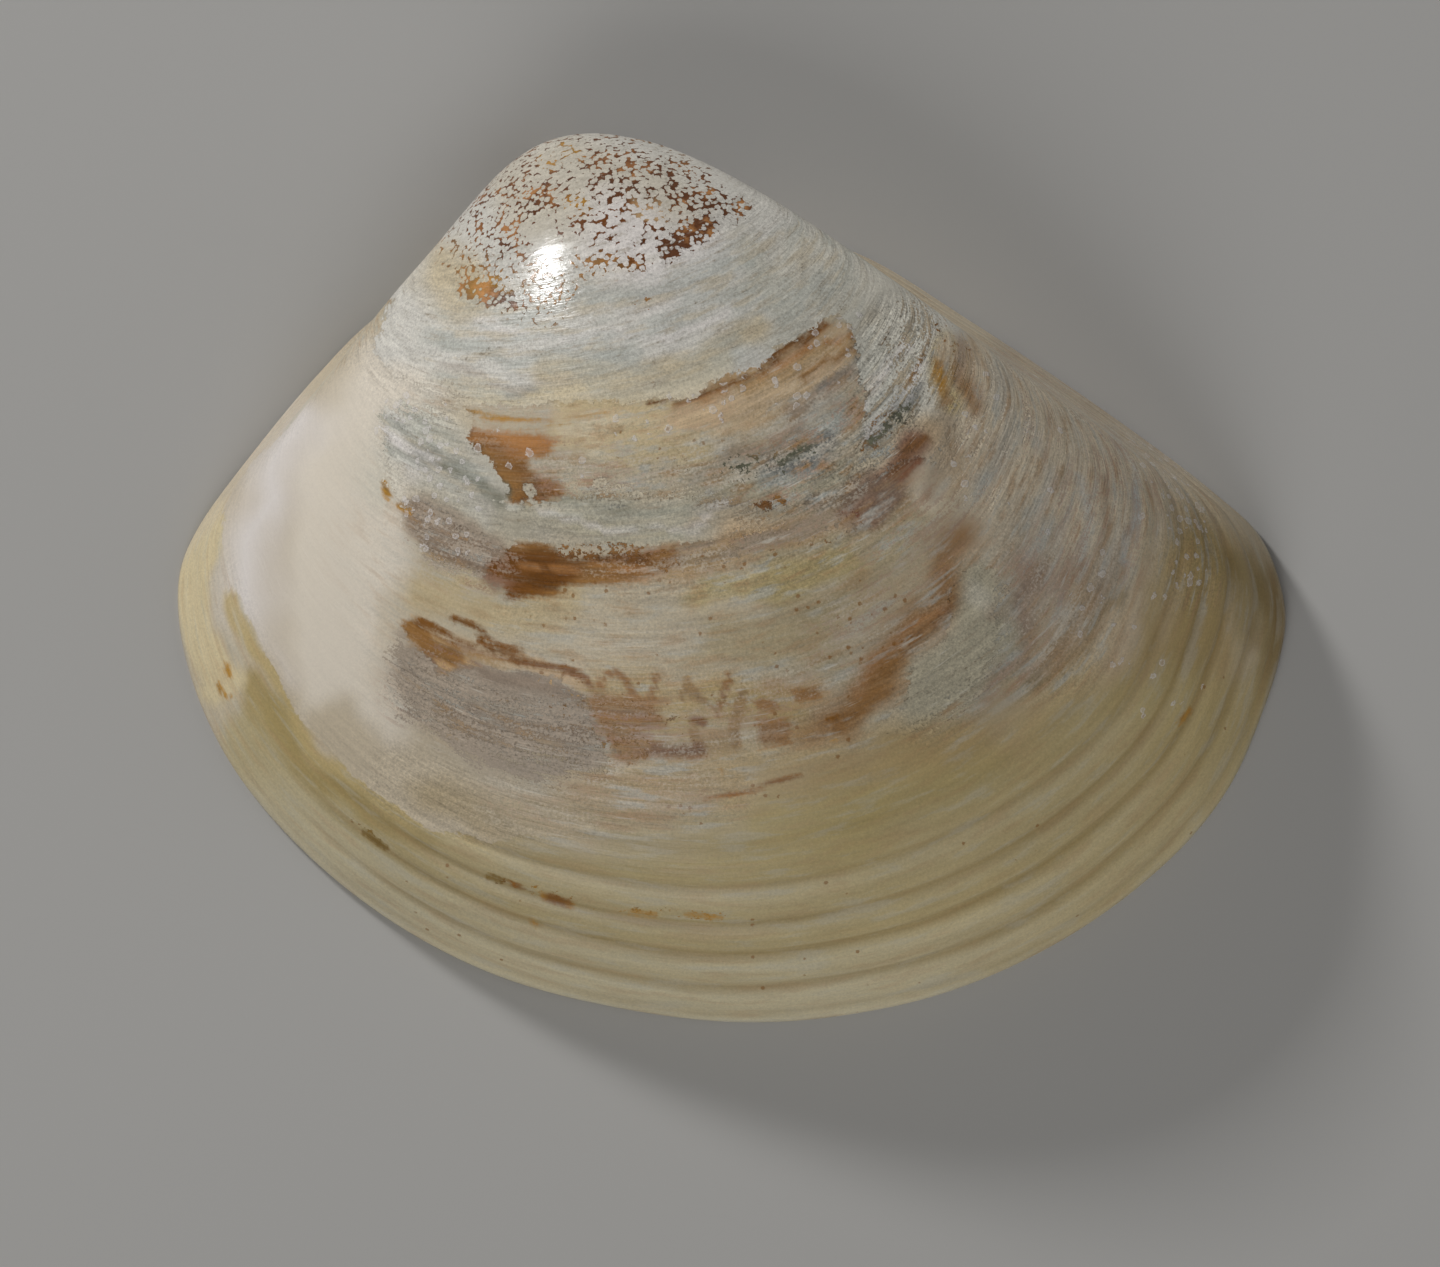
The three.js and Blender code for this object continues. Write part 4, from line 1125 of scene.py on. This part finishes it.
def make_valve():
    vertices, faces, stage, inner_faces = build_valve()
    mesh = bpy.data.meshes.new("valve")
    mesh.from_pydata((vertices * MM).tolist(), [], faces)
    mesh.polygons.foreach_set("use_smooth", [True] * len(mesh.polygons))
    places = photo_place(vertices)
    marks, mark_field = paint_marks(places)
    ground = paint_ground(places, stage)
    wall = hinge_wall(mesh, stage)
    ground += 0.6 * wall[:, None] * (linear("taupe") - ground)
    chalk, chalk_field = paint_chalk(places, ground)
    chalk += 0.5 * wall[:, None] * (linear("grey chalk") - chalk)
    chalk_field += wall * (np.clip((WALL_CHALK_END - stage) * 150, -40, 40) - chalk_field)
    skin, skin_field, skin_share = paint_skin(places)
    front = smoothstep(skin_field, 0, 20) * (1 - smoothstep(places[:, 1], 660, 760)) * (1 - smoothstep(places[:, 0], 330, 400))
    scar, tinge = inside_marks(vertices)
    add_attribute(mesh, "ring", "FLOAT_VECTOR", ring_place(stage))
    add_attribute(mesh, "ground", "FLOAT_COLOR", ground)
    add_attribute(mesh, "mark_colour", "FLOAT_COLOR", marks)
    add_attribute(mesh, "mark_field", "FLOAT", mark_field)
    add_attribute(mesh, "chalk_colour", "FLOAT_COLOR", chalk)
    add_attribute(mesh, "chalk_field", "FLOAT", chalk_field)
    add_attribute(mesh, "skin_colour", "FLOAT_COLOR", skin)
    add_attribute(mesh, "skin_field", "FLOAT", skin_field)
    add_attribute(mesh, "skin_share", "FLOAT", skin_share)
    add_attribute(mesh, "worn", "FLOAT", soft_field(places, WORN))
    add_attribute(mesh, "freckled", "FLOAT", soft_field(places, FRECKLED))
    add_attribute(mesh, "blistered", "FLOAT", 0.5 * soft_field(places, BLISTERED))
    add_attribute(mesh, "tinted", "FLOAT", soft_field(places, TINTED))
    add_attribute(mesh, "weathered", "FLOAT", np.maximum(soft_field(places, WEATHERED), SMOOTHEST) * (1 - 0.7 * front))
    add_attribute(mesh, "thinned", "FLOAT", soft_field(places, THINNED))
    add_attribute(mesh, "dotted", "FLOAT", 0.7 * soft_field(places, DOTTED))
    add_attribute(mesh, "filmed", "FLOAT", soft_field(places, FILMED))
    polished = soft_field(places, POLISHED)
    add_attribute(mesh, "polished", "FLOAT", polished)
    add_attribute(mesh, "sheen_loss", "FLOAT", 1 - 0.64 * polished)
    add_attribute(mesh, "scar", "FLOAT", scar)
    add_attribute(mesh, "tinge", "FLOAT", tinge)
    mesh.materials.append(outside_material())
    mesh.materials.append(inside_material())
    mesh.polygons.foreach_set("material_index", [1] * inner_faces + [0] * (len(mesh.polygons) - inner_faces))
    valve = bpy.data.objects.new("valve", mesh)
    bpy.context.scene.collection.objects.link(valve)
    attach(valve, "root")
    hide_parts("left_valve")


make_valve()


# Stage, light and camera
def add_stage():
    bpy.ops.mesh.primitive_plane_add(size=3, location=(0, 0, 0))
    floor = bpy.context.object
    floor.name = "floor"
    m = bpy.data.materials.new("floor_paper")
    m.use_nodes = True
    m.node_tree.nodes["Principled BSDF"].inputs["Base Color"].default_value = (0.55, 0.54, 0.52, 1)
    m.node_tree.nodes["Principled BSDF"].inputs["Roughness"].default_value = 0.9
    floor.data.materials.append(m)


def add_light(name, direction, distance, size, power):
    light = bpy.data.lights.new(name, "AREA")
    light.size = size
    light.energy = power
    lamp = bpy.data.objects.new(name, light)
    lamp.location = Vector(direction).normalized() * distance
    lamp.rotation_euler = (-Vector(direction)).to_track_quat("-Z", "Y").to_euler()
    bpy.context.scene.collection.objects.link(lamp)
    return lamp


def add_camera():
    distance = CAMERA_DISTANCE * MM
    middle = camera_middle()
    camera = bpy.data.cameras.new("camera")
    camera.sensor_width = 36
    camera.lens = 36 * distance / (PHOTO_SIZE[0] / PIXELS_PER_MM * MM)
    camera.clip_start = 0.01
    seen = bpy.data.objects.new("camera", camera)
    seen.location = (middle[0] * MM, middle[1] * MM, distance)
    bpy.context.scene.collection.objects.link(seen)
    bpy.context.scene.camera = seen


add_stage()
add_light("key", (-0.606, 0.706, 0.42), 0.6, 0.07, 1.75)
add_light("front_fill", (-0.25, -0.8, 0.6), 0.8, 0.5, 2.0)
add_light("side_fill", (0.8, -0.1, 0.6), 0.8, 0.5, 0.65)
world = bpy.data.worlds.new("studio")
world.use_nodes = True
world.node_tree.nodes["Background"].inputs["Color"].default_value = (1, 1, 1, 1)
world.node_tree.nodes["Background"].inputs["Strength"].default_value = 0.08
bpy.context.scene.world = world
bpy.context.scene.view_settings.view_transform = "Standard"
add_camera()
